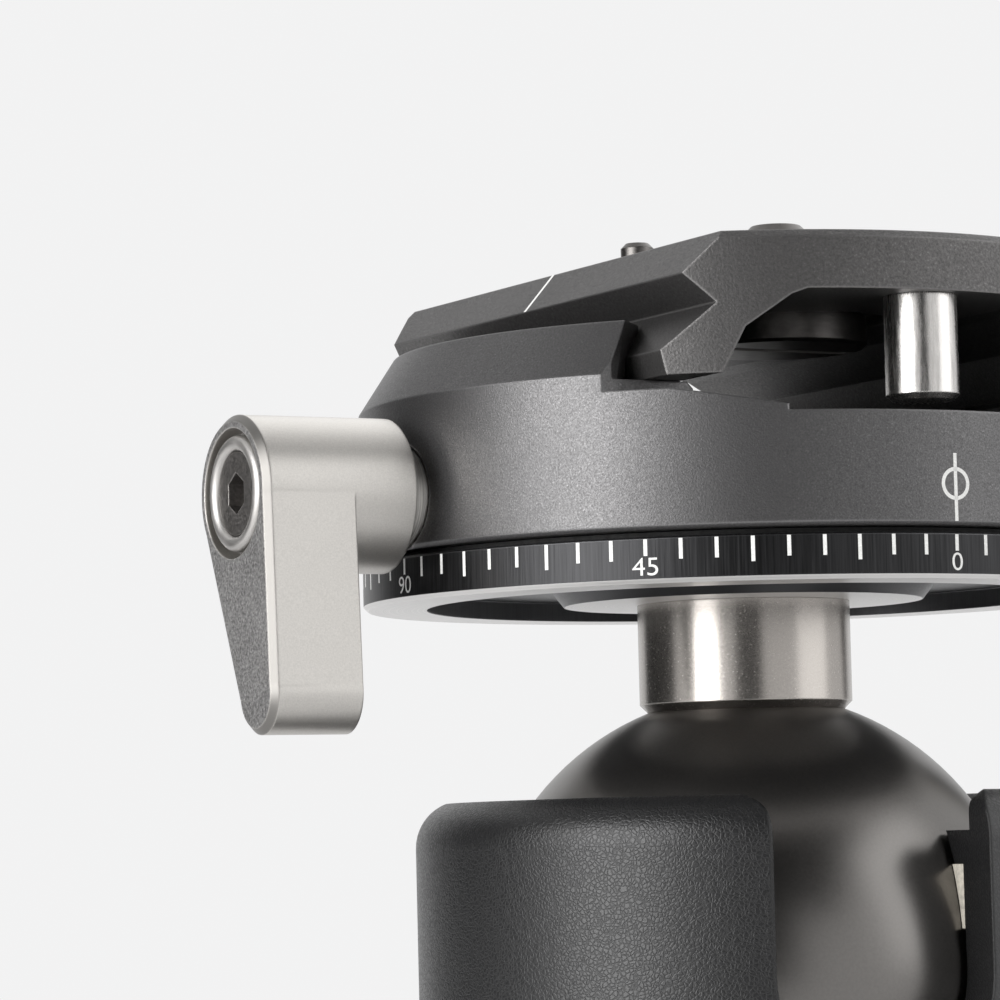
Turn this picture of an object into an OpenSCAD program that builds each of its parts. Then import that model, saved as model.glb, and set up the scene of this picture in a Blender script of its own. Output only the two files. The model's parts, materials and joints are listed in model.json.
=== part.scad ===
// Ball head with a panning base, a drop notch and a rotating dovetail clamp that holds its camera plate.
// Millimetres, +Z up. The origin is the centre of the base's underside, where the tripod's screw enters.
// The plate's end and the zero mark face -Y. The clamp's pan lock lever is on -X and its moving jaw on +X.

/* [Ball and neck] */
// Diameter of the ball
ball_d = 41.15; // [39.25:0.1:42.85]
// Height of the ball's centre above the underside of the base
ball_z = 52.35; // [51.75:0.5:59.5]
// Diameter of the neck
neck_d = 15.95; // [14.3:0.1:16.65]
// Ball's centre to the underside of the pan ring
stem_h = 27.3; // [27.15:0.05:32.15]
// Chamfer round the foot of the neck
neck_chamfer = 0.59; // [0.24:0.05:0.95]
// Diameter of the bolt that holds the stem together
bolt_d = 9.5; // [7.15:0.5:9.5]
// Diameter of the bolt's head
bolt_head_d = 15; // [14.3:0.1:15.45]
// Height of the bolt's head
bolt_head_h = 5; // [3.55:0.1:5]
// Depth of the bolt in the ball
bolt_depth = 14.3; // [9.5:0.5:19.05]

/* [Housing] */
// Wall between the ball's bore and the outside
housing_wall = 4.15; // [4.05:0.1:5.35]
// Height of the rim above the ball's centre
rim_h = 13; // [12.5:0.05:13.5]
// Radius of the rounded shoulder under the rim
shoulder_r = 3.55; // [1.8:0.1:3.95]
// Clear width of the drop notch beside the neck, on each side
notch_clear = 0.35; // [0.2:0.05:0.8]
// Radius of the notch's upper corners
notch_round = 1.9; // [1:0.1:2.5]
// Turn of the housing on its base, seen from above
housing_turn = -8.5; // [-45:0.5:45]
// Diameter of the open mouth inside the rim
mouth_d = 43.8; // [43:0.1:44.5]
// Depth of the mouth
mouth_h = 3.1; // [2.5:0.1:3.5]
// Chamfer on the mouth's edge
mouth_chamfer = 1.05; // [0.5:0.05:1.2]
// Height of the lip that keeps the seat liner in
lip_h = 2.4; // [2:0.1:2.8]
// Height of the seat liner
liner_h = 4.6; // [4:0.1:5]
// Depth of the cup's upper edge below the ball's centre
cup_drop = 10.1; // [9.5:0.1:11.9]
// Diameter of the flat boss round the lock shaft
boss_d = 16.65; // [14.9:0.5:17.85]
// Height of the flat boss over the wall
boss_h = 1.07; // [0.59:0.1:1.78]

/* [Base] */
// Width of the base disc beyond the housing's wall
base_overhang = 1.15; // [0.5:0.05:2.4]
// Height of the base disc
base_h = 8.35; // [7.15:0.5:8.9]
// Bore of the tripod bush, the tapping size of a 3/8 inch thread
tripod_bore_d = 7.94; // [5.1:0.02:8]
// Outside diameter of the tripod bush
bush_d = 16.65; // [14.3:0.5:16.65]
// Diameter of the spindle that the housing turns on
spindle_d = 30.95; // [29.75:0.5:33.3]
// Height of the bearing plate above the base disc's top
bearing_h = 11.8; // [11.3:0.1:12.5]
// Thickness of the bearing plate's outer flange
bearing_flange_h = 2.38; // [1.78:0.1:2.38]
// Thickness of the disc that carries the wedge
floor_h = 2.38; // [1.78:0.1:2.62]

/* [Lock mechanism] */
// Length of the wedge
wedge_l = 11.9; // [9.5:0.5:13.1]
// Width of the wedge
wedge_w = 11.9; // [9.5:0.5:13.1]
// Slope of the wedge in degrees
wedge_slope = 20; // [15:1:21]
// Height of the wedge at its thin end
wedge_h = 2.44; // [1.78:0.05:2.74]
// Height of the lock shaft over the wedge's floor
lock_axis_h = 3.7; // [3.65:0.05:3.8]
// Height of the base pan lock's axis over the base disc's top
base_lock_h = 6.2; // [5.95:0.1:6.55]
// Room that a pad or the wedge has to move back when its shaft is slackened
slack_room = 0.48; // [0.42:0.05:0.71]

/* [Pan ring] */
// Step of the pan ring inside the clamp's wall
ring_step = 0.07; // [0:0.01:1]
// Height of the pan ring
ring_h = 3.25; // [2.95:0.05:4.15]
// Width of the ring's flat rim round the recess in its underside
ring_rim_w = 4.75; // [3:0.05:8]
// Depth of the recess in the ring's underside
ring_recess_h = 1.43; // [0.59:0.1:1.78]
// Diameter of the ring's boss at the neck
ring_boss_d = 27; // [21.4:0.1:30.95]
// Black gap between ring and clamp
ring_gap = 0.44; // [0.4:0.01:0.7]
// Chamfer on the ring's lower edge
ring_chamfer = 0.32; // [0.12:0.01:0.59]

/* [Clamp] */
// Diameter of the clamp
clamp_d = 57.24; // [56:0.02:59]
// Height of the upright wall
clamp_wall_h = 10.95; // [10.8:0.05:11.5]
// Height of the jaws
clamp_h = 15; // [14.7:0.1:15.2]
// Width of the cone between the upright wall and the jaws' tops
cone_w = 2.67; // [1.6:0.01:3.4]
// Length of the jaws along the channel
jaw_l = 34.6; // [30:0.1:35]
// Turn of the jaws' end faces from square
jaw_end_turn = 29; // [15:1:35]
// Half width of the channel between the jaws' noses
nose_half = 16.9; // [16.6:0.05:17.4]
// Height of the ledges that the plate rests on
ledge_h = 10.7; // [10.5:0.05:10.8]
// Length of the ledges along the channel
ledge_l = 36.2; // [33:0.1:38]
// Inner half width of the ledges
ledge_in = 14.75; // [14.2:0.05:15.2]
// Height of the channel's outer floor
floor_high = 9.77; // [9.5:0.01:10]
// Height of the channel's sloped floors beside the recess
floor_low = 8.44; // [8.2:0.01:8.8]
// Half width of the central recess
recess_half = 11.84; // [10:0.02:13]
// Height of the central recess's floor
recess_h = 8.04; // [7.8:0.02:8.1]
// Diameter of the hub that the clamp turns on
hub_d = 28.6; // [26.5:0.1:29]
// Diameter of the retainer that keeps the clamp on its hub
retainer_d = 32.4; // [31:0.1:33]
// Thickness of the retainer
retainer_h = 1.2; // [1.1:0.05:1.25]
// Diameter of the button in the retainer, which stops the plate's pins
stop_boss_d = 18.6; // [17:0.1:19]
// Height of that button over the retainer
stop_boss_h = 1.4; // [1.1:0.05:1.8]
// Width of the moving jaw, from the clamp's wall to where the body parts from it
jaw_w = 6.72; // [6.3:0.02:7.1]
// Gap between the body and the closed jaw
split_gap = 0.3; // [0.25:0.05:0.5]
// Travel of the moving jaw
jaw_travel = 3.4; // [2:0.1:3.6]
// Spacing of the jaw's guide pins
guide_spacing = 19; // [17.5:0.5:20]
// Diameter of the guide pins
guide_d = 3.5; // [3:0.1:3.7]

/* [Plate] */
// Step of the plate's rounded ends inside the clamp's wall
plate_step = 0.32; // [0:0.01:1]
// Height of the plate
plate_h = 9.9; // [9.6:0.1:10.6]
// Width over the dovetail
dovetail_w = 38; // [37.8:0.1:38.2]
// Height of the dovetail's widest point
dovetail_h = 1.75; // [1.6:0.05:1.9]
// Height of the bottom of the V between dovetail and flange
vee_h = 4.9; // [4.7:0.05:5.05]
// Width over the flange
flange_w = 35.5; // [34.5:0.1:36.5]
// Drop from the top to the flange's edge
flange_drop = 2.85; // [2.5:0.05:3.1]
// Width of the flat top
top_w = 30.5; // [29.5:0.1:31.5]
// Height of the underside of the slab
slab_h = 5.75; // [5.6:0.05:5.9]
// Width between the feet
foot_gap = 31.2; // [30.6:0.1:31.8]
// Place of the camera screw along the plate, from its middle
screw_y = -6.1; // [-9:0.1:5]
// Travel of the camera screw's slot to each side of its middle
slot_travel = 7; // [6.5:0.1:7]
// Diameter of the camera screw
camera_screw_d = 6.2; // [5.5:0.05:6.35]
// Diameter of the camera screw's head
camera_head_d = 13; // [12:0.1:14]
// Height of the camera screw above the plate
camera_screw_h = 3.4; // [3.2:0.1:6]
// Diameter of the locating pin behind the camera screw
locating_d = 2.6; // [2:0.1:3]
// Height of the locating pin above the plate
locating_h = 4.9; // [3:0.1:5.5]
// Place of the locating pin along the plate, from its middle
locating_y = 14.4; // [13:0.1:16]
// Diameter of the stop pins
pin_d = 5.2; // [4.8:0.1:5.4]
// Distance of the stop pins from the plate's ends
pin_inset = 3.4; // [3.2:0.05:4]
// Length of the stop pins under the slab
pin_l = 7.45; // [6.8:0.05:7.5]
// Width of the rubber strips
strip_w = 4.5; // [3.5:0.1:5]
// Distance between the middles of the rubber strips
strip_spacing = 23; // [22:0.1:24]
// Length of the rubber strips
strip_l = 38; // [34:0.5:40]
// Height of the rubber strips over the plate
strip_h = 0.3; // [0.2:0.05:0.6]

/* [Levers] */
// Diameter of a small lever's hub
hub_lever_d = 11.2; // [10.7:0.1:11.65]
// Diameter of a small lever's tail
tail_lever_d = 5.85; // [4.75:0.1:7.15]
// Distance from hub to tail on a small lever
lever_reach = 14.65; // [11.9:0.1:15.45]
// Thickness of a small lever's paddle
paddle_t = 7; // [5.95:0.1:7.75]
// Length of the round boss behind a small lever's paddle
lever_boss_l = 4.9; // [3.55:0.1:5.95]
// Diameter of the main lever's hub
main_hub_d = 13.8; // [13.1:0.1:14.3]
// Diameter of the main lever's tail
main_tail_d = 7.15; // [5.95:0.1:8.35]
// Distance from hub to tail on the main lever
main_reach = 18.35; // [15.45:0.1:18.45]
// Height of the clamp levers' axis above the clamp's underside
lever_h = 3.85; // [3.8:0.05:4.05]
// Gap between a lever's boss and the wall, bridged by the shaft's collar
lever_gap = 1.61; // [1.19:0.05:2.38]
// Diameter of the pan lock shafts
pan_shaft_d = 5.85; // [4.75:0.1:5.85]
// Diameter of the jaw's and the ball lock's shafts
lock_shaft_d = 6.4; // [5.4:0.1:6.8]
// Turn of the clamp's levers from straight down
lever_turn = 13; // [0:1:40]
// Turn of the main lever from straight down
main_turn = 60; // [0:1:80]
// Turn of the base pan lever from straight down
base_turn = 85; // [80:1:95]

/* [Hidden] */

// Fits: a running fit, a seat that only just clears, and a loose edge
running = 0.05;
seated = 0.02;
loose = 0.3;
// Overshoot of a cutting tool beyond the face that it cuts
over = 1;
$fn = 96;

// The pan ring, the clamp and the plate's ends line up
clamp_r = clamp_d / 2;
ring_r = clamp_r - ring_step;
ring_recess_r = ring_r - ring_rim_w;
plate_r = clamp_r - plate_step;

// Ball, neck and stem
ball_r = ball_d / 2;
seat_r = ball_r + running;
neck_r = neck_d / 2;
flat_r = neck_r - neck_chamfer;
neck_z = ball_z + sqrt(ball_r * ball_r - flat_r * flat_r);
ring_z = ball_z + stem_h;
ring_top = ring_z + ring_h;
bolt_r = bolt_d / 2;
stem_bore_r = bolt_r + running;

// Housing and its floor
bore_r = ball_r + loose;
housing_r = bore_r + housing_wall;
rim_z = ball_z + rim_h;
lip_z = rim_z - mouth_h - lip_h;
notch_r = neck_r + notch_clear;
base_r = housing_r + base_overhang;
edge_chamfer = 0.3;
base_chamfer = 0.6;
base_edge = 0.4;
sole_w = 3;
sole_gap = 1.5;
sole_relief = 0.4;
screw_sink = 0.3;
glide_h = 0.6;
glide_inset = 1.5;
glide_gap = 1;
bearing_z = base_h + glide_h + running;
housing_z = bearing_z + bearing_flange_h;
bearing_top = base_h + bearing_h;
floor_top = bearing_top + floor_h;
plug_r = bore_r - running;
spindle_r = spindle_d / 2;
spindle_flange_r = spindle_r + 2.6;
spindle_flange_h = 1.8;
spindle_foot_h = 1.2;
spindle_top = bearing_top - loose;
spindle_flange_z = spindle_top - spindle_flange_h;
bearing_seat_z = spindle_flange_z - 2 * running;
bearing_screw_d = 2;
bearing_screw_ring = housing_r - 2 * edge_chamfer - bearing_screw_d;
bearing_screw_l = 7;
bearing_screw_count = 4;
bush_r = bush_d / 2;
bush_flange_r = bush_r + 1.9;
bush_flange_h = 1.9;
bush_top = spindle_top - 3;
bush_z = 0.5;
base_screw_count = 3;
base_screw_d = 3.4;
base_screw_ring = (bush_flange_r + spindle_r) / 2 - 0.7;
base_screw_l = 12.5;
base_lock_z = base_h + base_lock_h;
groove_depth = 1.5;
groove_half = 1.8;

// Ball lock
wedge_floor = floor_top + running;
lock_z = wedge_floor + lock_axis_h;
cup_z = wedge_floor + wedge_h - 0.1;
cup_top = ball_z - cup_drop;
cup_slot_top = lock_z + lock_shaft_d / 2 + 1.2;
main_boss_x = housing_r + boss_h;

// Clamp
clamp_top_r = clamp_r - cone_w;
split_x = clamp_r - jaw_w;
clamp_z = ring_top + ring_gap;
lever_z = clamp_z + lever_h;
hub_r = hub_d / 2;
retainer_r = retainer_d / 2;
retainer_gap = 0.1;
retainer_sink = 0.63;
hub_top = clamp_z + recess_h - retainer_sink;
retainer_top = hub_top + retainer_h;
retainer_screw_ring = 12.1;
retainer_screw_d = 2.4;
retainer_screw_l = 3.5;
retainer_screw_count = 4;
hub_web = 2.7;

// Plate, seated on the ledges between the jaws
plate_z = clamp_z + ledge_h + running;
dovetail_half = dovetail_w / 2;
vee_half = dovetail_half - (vee_h - dovetail_h);
flank_sum = dovetail_half + plate_z - clamp_z + dovetail_h + running * sqrt(2);
pocket_half = dovetail_half + 0.2;
pocket_h = flank_sum - pocket_half;
nose_h = flank_sum - nose_half;
slope_out = 18.7;
ledge_round = 0.5;
jaw_end_x = 19.9;
lead_x = 20.7;
lead_lean = 4.6;
jaw_in = split_x + split_gap;
pin_y = plate_r - pin_inset;
pin_chamfer = 0.4;
pin_shank_l = 1.8;
locating_seat = 2.5;
plate_chamfer = 0.5;
strip_groove = 0.7;
foot_draft = 0.3;
foot_lean = 1.4;
foot_wall_h = 3.16;
foot_slope = 2.9;
foot_blend = 1.1;
foot_blend_h = 0.4;
slot_y = -2;
hole_wall = 0.2;
clip_h = 0.6;
clip_w = 1.6;
clip_recess_h = 0.9;
head_recess_h = 0.9;
head_h = 2.6;
coin_slot = 1.4;
shank_r = 2.6;
tip_chamfer = 1.25;

// Levers: the socket screw and its ferrule sit in a counterbore in the hub's end
hub_rim = 0.95;
socket_h = 1.55;
ferrule_gap = 0.48;
ferrule_rim = 1.13;
ferrule_floor = 0.5;
lever_screw_d = 3.4;
lever_screw_l = 4.8;
lever_chamfer = 0.48;
collar_wall = 0.7;
spot_depth = 0.4;
pad_l = 3.6;
pad_edge = 1.1;
hex_d = 3;
spot_gap = 0.2;

// Springs round the guide pins
spring_wire = 0.6;
spring_turns = 4;
spring_steps = 8;
spring_sides = 6;
spring_pocket_l = 4.8;
spring_pocket_r = guide_d / 2 + 1.4;
spring_mean_r = guide_d / 2 + 0.65;
spring_l = spring_pocket_l + split_gap - 2 * seated;
spring_pitch = (spring_l - spring_wire) / spring_turns;
echo(spring_least_gap = spring_pitch - spring_wire);
// The guide pins still reach guide_hold into the body when the jaw is fully open
guide_hold = 1.3;
guide_in = split_x - spring_pocket_l - jaw_travel - guide_hold;
guide_end_wall = 0.7;
guide_out = sqrt(pow(clamp_r, 2) - pow((guide_spacing + guide_d) / 2, 2)) - guide_end_wall;

// Places its children on a wall at distance r and height z, with +Z pointing outward and -X down.
// Turn 0 is the -X side.
module on_wall(turn, r, z) {
    translate([0, 0, z]) rotate([0, 0, turn]) translate([-r, 0, 0]) rotate([0, -90, 0]) children();
}

// The housing's own pieces, turned on the base
module in_housing() {
    rotate([0, 0, housing_turn]) children();
}

// Copies round the Z axis
module polar(count, radius, start = 0) {
    for (i = [0 : count - 1]) rotate([0, 0, start + i * 360 / count]) translate([radius, 0, 0]) children();
}

// A tube from z low to z high
module tube(outer, inner, low, high) {
    difference() {
        translate([0, 0, low]) cylinder(r = outer, h = high - low);
        translate([0, 0, low - over]) cylinder(r = inner, h = high - low + 2 * over);
    }
}

// A V groove round a shaft of radius r
module vee_groove(r, z) {
    rotate_extrude() polygon([[r - groove_depth, z], [r + groove_depth, z - 2 * groove_half],
        [r + groove_depth, z + 2 * groove_half]]);
}

// A pad with the point that fits that groove, along +Z from the groove's floor
module vee_pad(d, l) {
    r = d / 2 - running;
    slope = groove_depth / groove_half;
    rotate_extrude() polygon([[0, 0], [d / 2 - pad_edge, (d / 2 - pad_edge) * slope],
        [r, l - running], [r, l], [0, l]]);
}

// A countersunk screw whose head's face lies at z = 0, with its shank along +Z
module countersunk(d, l) {
    difference() {
        union() {
            cylinder(r1 = d, r2 = d / 2, h = d / 2);
            cylinder(r = d / 2, h = l);
        }
        translate([0, 0, -over]) cylinder(r = d / 2.6, h = over + d / 3, $fn = 6);
    }
}

// The seat for that screw
module countersink(d, l) {
    cylinder(r1 = d + seated, r2 = d / 2 + seated, h = d / 2);
    cylinder(r = d / 2 + seated, h = l + 0.2);
    translate([0, 0, -over]) cylinder(r = d + seated, h = over);
}

// Half of a turned clamp's outline: upright wall, then the cone up to the jaws' top
module clamp_outline() {
    translate([0, 0, clamp_z]) rotate_extrude() polygon([[0, 0], [clamp_r - edge_chamfer, 0],
        [clamp_r, edge_chamfer], [clamp_r, clamp_wall_h], [clamp_top_r, clamp_h], [0, clamp_h]]);
}

// Extrudes a profile drawn in X and Z along the whole channel
module along_channel(l) {
    translate([0, l / 2, 0]) rotate([90, 0, 0]) linear_extrude(l) children();
}

// A cylinder from z low to z high with a chamfer round its upper edge
module chamfered(r, low, high) {
    rotate_extrude() polygon([[0, low], [r, low], [r, high - lever_chamfer], [r - lever_chamfer, high],
        [0, high]]);
}

// One lever: a round boss, a drop shaped paddle from hub to tail along -X, and the counterbore for its screw.
// The end face has a chamfer all round. The flat sides lie a hair inside the round ends.
module lever(hub_d, tail_d, reach, shaft_d) {
    hub = hub_d / 2;
    tail = tail_d / 2;
    lean = asin((hub - tail) / reach);
    side_l = reach * cos(lean) + 2 * over;
    top = lever_boss_l + paddle_t;
    edge = lever_chamfer + over;
    side = [-sin(lean), cos(lean)];
    near = (hub - seated) * side;
    far = (tail - seated) * side - [reach, 0];
    difference() {
        union() {
            chamfered(hub, 0, top);
            translate([-reach, 0, 0]) chamfered(tail, lever_boss_l, top);
            difference() {
                translate([0, 0, lever_boss_l]) linear_extrude(paddle_t)
                    polygon([near, far, [far.x, -far.y], [near.x, -near.y]]);
                for (m = [0, 1]) mirror([0, m, 0]) rotate([0, 0, 90 + lean])
                    translate([hub - 2 * seated, side_l - over, top]) rotate([90, 0, 0])
                    linear_extrude(side_l) polygon([[-edge, over], [over, over], [over, -edge]]);
            }
        }
        translate([0, 0, -over]) cylinder(r = shaft_d / 2 + seated, h = top);
        translate([0, 0, top - socket_h]) cylinder(r = hub - hub_rim, h = socket_h + over);
    }
}

// The bright ring in a lever's end
module ferrule(hub_d) {
    outer = hub_d / 2 - hub_rim - ferrule_gap;
    round_r = ferrule_rim / 2;
    translate([0, 0, lever_boss_l + paddle_t - socket_h]) rotate_extrude() {
        translate([lever_screw_d / 2 + seated, 0])
            square([outer - lever_screw_d / 2 - seated, ferrule_floor]);
        translate([outer - ferrule_rim, 0]) square([ferrule_rim, socket_h - round_r]);
        translate([outer - round_r, socket_h - round_r]) circle(r = round_r);
    }
}

// The socket screw inside that ring, reaching into the shaft
module lever_screw(hub_d) {
    head_r = hub_d / 2 - hub_rim - ferrule_gap - ferrule_rim - running;
    head_z = lever_boss_l + paddle_t - socket_h + ferrule_floor;
    head_t = 0.7;
    difference() {
        union() {
            translate([0, 0, head_z]) cylinder(r = head_r, h = head_t);
            translate([0, 0, head_z - lever_screw_l]) cylinder(r = lever_screw_d / 2, h = lever_screw_l);
        }
        translate([0, 0, head_z - over]) cylinder(d = hex_d, h = over + head_t + over, $fn = 6);
    }
}

// A lock shaft: it carries the lever, has a turned collar in the gap, and reaches inner_l into the wall
module lever_shaft(shaft_d, inner_l) {
    end_z = lever_boss_l + paddle_t - socket_h - seated;
    collar_l = lever_gap + spot_depth - running;
    difference() {
        union() {
            translate([0, 0, -inner_l]) cylinder(d = shaft_d, h = inner_l + end_z);
            translate([0, 0, -collar_l]) cylinder(r = shaft_d / 2 + collar_wall, h = collar_l - seated);
        }
        translate([0, 0, end_z - lever_screw_l])
            cylinder(r = lever_screw_d / 2 + seated, h = lever_screw_l + over);
    }
}

// The hole for a lock shaft, with a flat seat for its collar: depth is measured from the lever's boss
module shaft_hole(shaft_d, depth) {
    translate([0, 0, -depth]) cylinder(r = shaft_d / 2 + running, h = depth);
    translate([0, 0, -lever_gap - spot_depth])
        cylinder(r = shaft_d / 2 + collar_wall + spot_gap, h = over + lever_gap);
}

// A coil spring along +Z: one unbroken tube of spring_sides sides
function coil_point(i, k) = let (
        turn = 360 * i / spring_steps,
        around = 360 * k / spring_sides,
        r = spring_mean_r + spring_wire / 2 * cos(around),
        z = spring_wire / 2 + spring_pitch * i / spring_steps + spring_wire / 2 * sin(around)
    ) [r * cos(turn), r * sin(turn), z];

module coil_spring() {
    last = spring_turns * spring_steps;
    n = spring_sides;
    points = [for (i = [0 : last], k = [0 : n - 1]) coil_point(i, k)];
    sides = [for (i = [0 : last - 1], k = [0 : n - 1], half = [0, 1])
        let (a = i * n + k, b = i * n + (k + 1) % n)
        half == 0 ? [a, a + n, b] : [b, a + n, b + n]];
    ends = [for (k = [1 : n - 2], far = [0, 1]) far == 0 ? [0, k, k + 1]
        : [last * n, last * n + k + 1, last * n + k]];
    polyhedron(points = points, faces = concat(sides, ends));
}

// Panning base

module base_disc() {
    color("#26272a") difference() {
        rotate_extrude() polygon([[0, 0], [base_r - base_chamfer, 0], [base_r, base_chamfer],
            [base_r, base_h - base_edge], [base_r - base_edge, base_h], [0, base_h]]);
        translate([0, 0, -over]) cylinder(r = bush_r + running, h = base_h + 2 * over);
        translate([0, 0, base_h - spindle_foot_h])
            cylinder(r = spindle_r + running, h = spindle_foot_h + over);
        // Relief under the sole, between its outer rim and its middle
        tube(base_r - sole_w, spindle_r + sole_gap, -over, sole_relief);
        polar(base_screw_count, base_screw_ring) translate([0, 0, screw_sink])
            countersink(base_screw_d, base_screw_l);
    }
}

module tripod_bush() {
    color("#b9bbbe") difference() {
        union() {
            translate([0, 0, bush_z]) cylinder(r = bush_r, h = bush_top - bush_z);
            translate([0, 0, bush_top - bush_flange_h]) cylinder(r = bush_flange_r, h = bush_flange_h);
        }
        translate([0, 0, -over]) cylinder(d = tripod_bore_d, h = bush_top + 2 * over);
    }
}

module spindle() {
    color("#8f9194") difference() {
        union() {
            translate([0, 0, base_h - spindle_foot_h])
                cylinder(r = spindle_r, h = spindle_top - base_h + spindle_foot_h);
            translate([0, 0, spindle_flange_z]) cylinder(r = spindle_flange_r, h = spindle_flange_h);
        }
        cylinder(r = bush_r + running, h = spindle_top + over);
        translate([0, 0, bush_top - bush_flange_h]) cylinder(r = bush_flange_r + running, h = spindle_top);
        vee_groove(spindle_r, base_lock_z);
        polar(base_screw_count, base_screw_ring)
            cylinder(r = base_screw_d / 2 + seated, h = base_screw_l + 0.5);
    }
}

module base_screws() {
    color("#3a3b3d") polar(base_screw_count, base_screw_ring) translate([0, 0, screw_sink])
        countersunk(base_screw_d, base_screw_l);
}

module base_glide_ring() {
    color("#1b1b1c") tube(base_r - glide_inset, spindle_r + glide_gap, base_h, base_h + glide_h);
}

// Housing

module housing() {
    color("#1a1a1b") in_housing() difference() {
        union() {
            rotate_extrude() {
                translate([0, housing_z]) square([housing_r, rim_z - shoulder_r - housing_z]);
                translate([0, housing_z]) square([housing_r - shoulder_r, rim_z - housing_z]);
                translate([housing_r - shoulder_r, rim_z - shoulder_r]) circle(r = shoulder_r);
            }
            on_wall(180, main_boss_x, lock_z) translate([0, 0, -housing_wall])
                cylinder(d = boss_d, h = housing_wall);
        }
        translate([0, 0, housing_z - over]) cylinder(r = bore_r, h = lip_z - housing_z + over);
        translate([0, 0, rim_z - mouth_h]) cylinder(d = mouth_d, h = mouth_h + over);
        translate([0, 0, rim_z - mouth_chamfer])
            cylinder(r1 = mouth_d / 2, r2 = mouth_d / 2 + 2 * mouth_chamfer, h = 2 * mouth_chamfer);
        translate([0, 0, ball_z]) sphere(r = bore_r + running);
        drop_notch();
        on_wall(180, main_boss_x + lever_gap, lock_z) shaft_hole(lock_shaft_d, housing_r);
        on_wall(0, housing_r + lever_gap, base_lock_z) shaft_hole(pan_shaft_d, housing_r);
        polar(bearing_screw_count, bearing_screw_ring, 45) translate([0, 0, housing_z - over])
            cylinder(r = bearing_screw_d / 2 + seated, h = bearing_screw_l + over);
    }
}

// The slot that lets the neck drop to the side: a round bottom at the ball's centre, upright walls and
// rounded upper corners
module drop_notch() {
    reach = housing_r + over;
    translate([0, 0, ball_z]) rotate([90, 0, 0]) cylinder(r = notch_r, h = reach);
    translate([-notch_r, -reach, ball_z]) cube([2 * notch_r, reach, rim_h + over]);
    for (m = [0, 1]) mirror([m, 0, 0]) translate([notch_r, 0, rim_z]) rotate([90, 0, 0]) linear_extrude(reach)
        difference() {
            translate([-over, -notch_round]) square([over + notch_round, over + notch_round]);
            translate([notch_round, -notch_round]) circle(r = notch_round);
        }
}

module bearing_plate() {
    color("#333437") in_housing() difference() {
        union() {
            rotate_extrude() polygon([[0, bearing_z], [housing_r - edge_chamfer, bearing_z],
                [housing_r, bearing_z + edge_chamfer], [housing_r, housing_z], [0, housing_z]]);
            translate([0, 0, bearing_z]) cylinder(r = plug_r, h = bearing_top - bearing_z);
        }
        cylinder(r = spindle_r + running, h = bearing_top + over);
        translate([0, 0, bearing_seat_z]) cylinder(r = spindle_flange_r + running, h = bearing_h);
        on_wall(0, housing_r + lever_gap, base_lock_z) shaft_hole(pan_shaft_d, housing_r);
        polar(bearing_screw_count, bearing_screw_ring, 45) translate([0, 0, bearing_z + screw_sink])
            countersink(bearing_screw_d, bearing_screw_l);
    }
}

module bearing_screws() {
    color("#3a3b3d") in_housing() polar(bearing_screw_count, bearing_screw_ring, 45)
        translate([0, 0, bearing_z + screw_sink]) countersunk(bearing_screw_d, bearing_screw_l);
}

module floor_disc() {
    color("#808285") in_housing() translate([0, 0, bearing_top]) cylinder(r = plug_r, h = floor_h);
}

module seat_liner() {
    color("#d9d4c6") in_housing() difference() {
        translate([0, 0, lip_z - liner_h]) cylinder(r = plug_r, h = liner_h - seated);
        translate([0, 0, ball_z]) sphere(r = seat_r);
        drop_notch();
    }
}

module pressure_cup() {
    color("#cfc9b8") in_housing() difference() {
        translate([0, 0, cup_z]) cylinder(r = plug_r, h = cup_top - cup_z);
        translate([0, 0, ball_z]) sphere(r = seat_r);
        wedge_shape(running, wedge_l);
        translate([0, -wedge_w / 2 - running, cup_z - over])
            cube([bore_r + over, wedge_w + 2 * running, cup_slot_top - cup_z + over]);
    }
}

// The wedge's outline, grown by a clearance and run on past its thick end
module wedge_shape(clear, extra) {
    rise = tan(wedge_slope);
    half = wedge_l / 2;
    translate([0, wedge_w / 2 + clear, wedge_floor]) rotate([90, 0, 0]) linear_extrude(wedge_w + 2 * clear)
        polygon([[-half - clear * 8, -clear * 8], [half + extra, -clear * 8],
            [half + extra, wedge_h + wedge_l * rise + clear], [half, wedge_h + wedge_l * rise + clear],
            [-half - clear * 8, wedge_h + clear - clear * 8 * rise]]);
}

module lock_wedge() {
    color("#a08a52") in_housing() wedge_shape(0, 0);
}

// Ball lock lever

module on_main() {
    in_housing() on_wall(180, main_boss_x + lever_gap, lock_z) children();
}

module main_lever() {
    color("#c9c6c0") on_main() rotate([0, 0, main_turn])
        lever(main_hub_d, main_tail_d, main_reach, lock_shaft_d);
}

module main_ferrule() {
    color("#e4e2de") on_main() ferrule(main_hub_d);
}

module main_screw() {
    color("#3b3a39") on_main() lever_screw(main_hub_d);
}

module main_shaft() {
    color("#a9a7a3") on_main()
        lever_shaft(lock_shaft_d, main_boss_x + lever_gap - wedge_l / 2 - slack_room);
}

// Base pan lock lever

module on_base_lock() {
    in_housing() on_wall(0, housing_r + lever_gap, base_lock_z) children();
}

module base_lever() {
    color("#c9c6c0") on_base_lock() rotate([0, 0, base_turn])
        lever(hub_lever_d, tail_lever_d, lever_reach, pan_shaft_d);
}

module base_ferrule() {
    color("#e4e2de") on_base_lock() ferrule(hub_lever_d);
}

module base_lever_screw() {
    color("#3b3a39") on_base_lock() lever_screw(hub_lever_d);
}

module base_shaft() {
    pad_back = spindle_r - groove_depth + running + pad_l;
    color("#a9a7a3") on_base_lock() lever_shaft(pan_shaft_d, housing_r + lever_gap - pad_back - slack_room);
}

module base_brake_pad() {
    color("#b5913e") in_housing() on_wall(0, spindle_r - groove_depth + running, base_lock_z)
        vee_pad(pan_shaft_d, pad_l);
}

// Ball and stem

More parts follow.
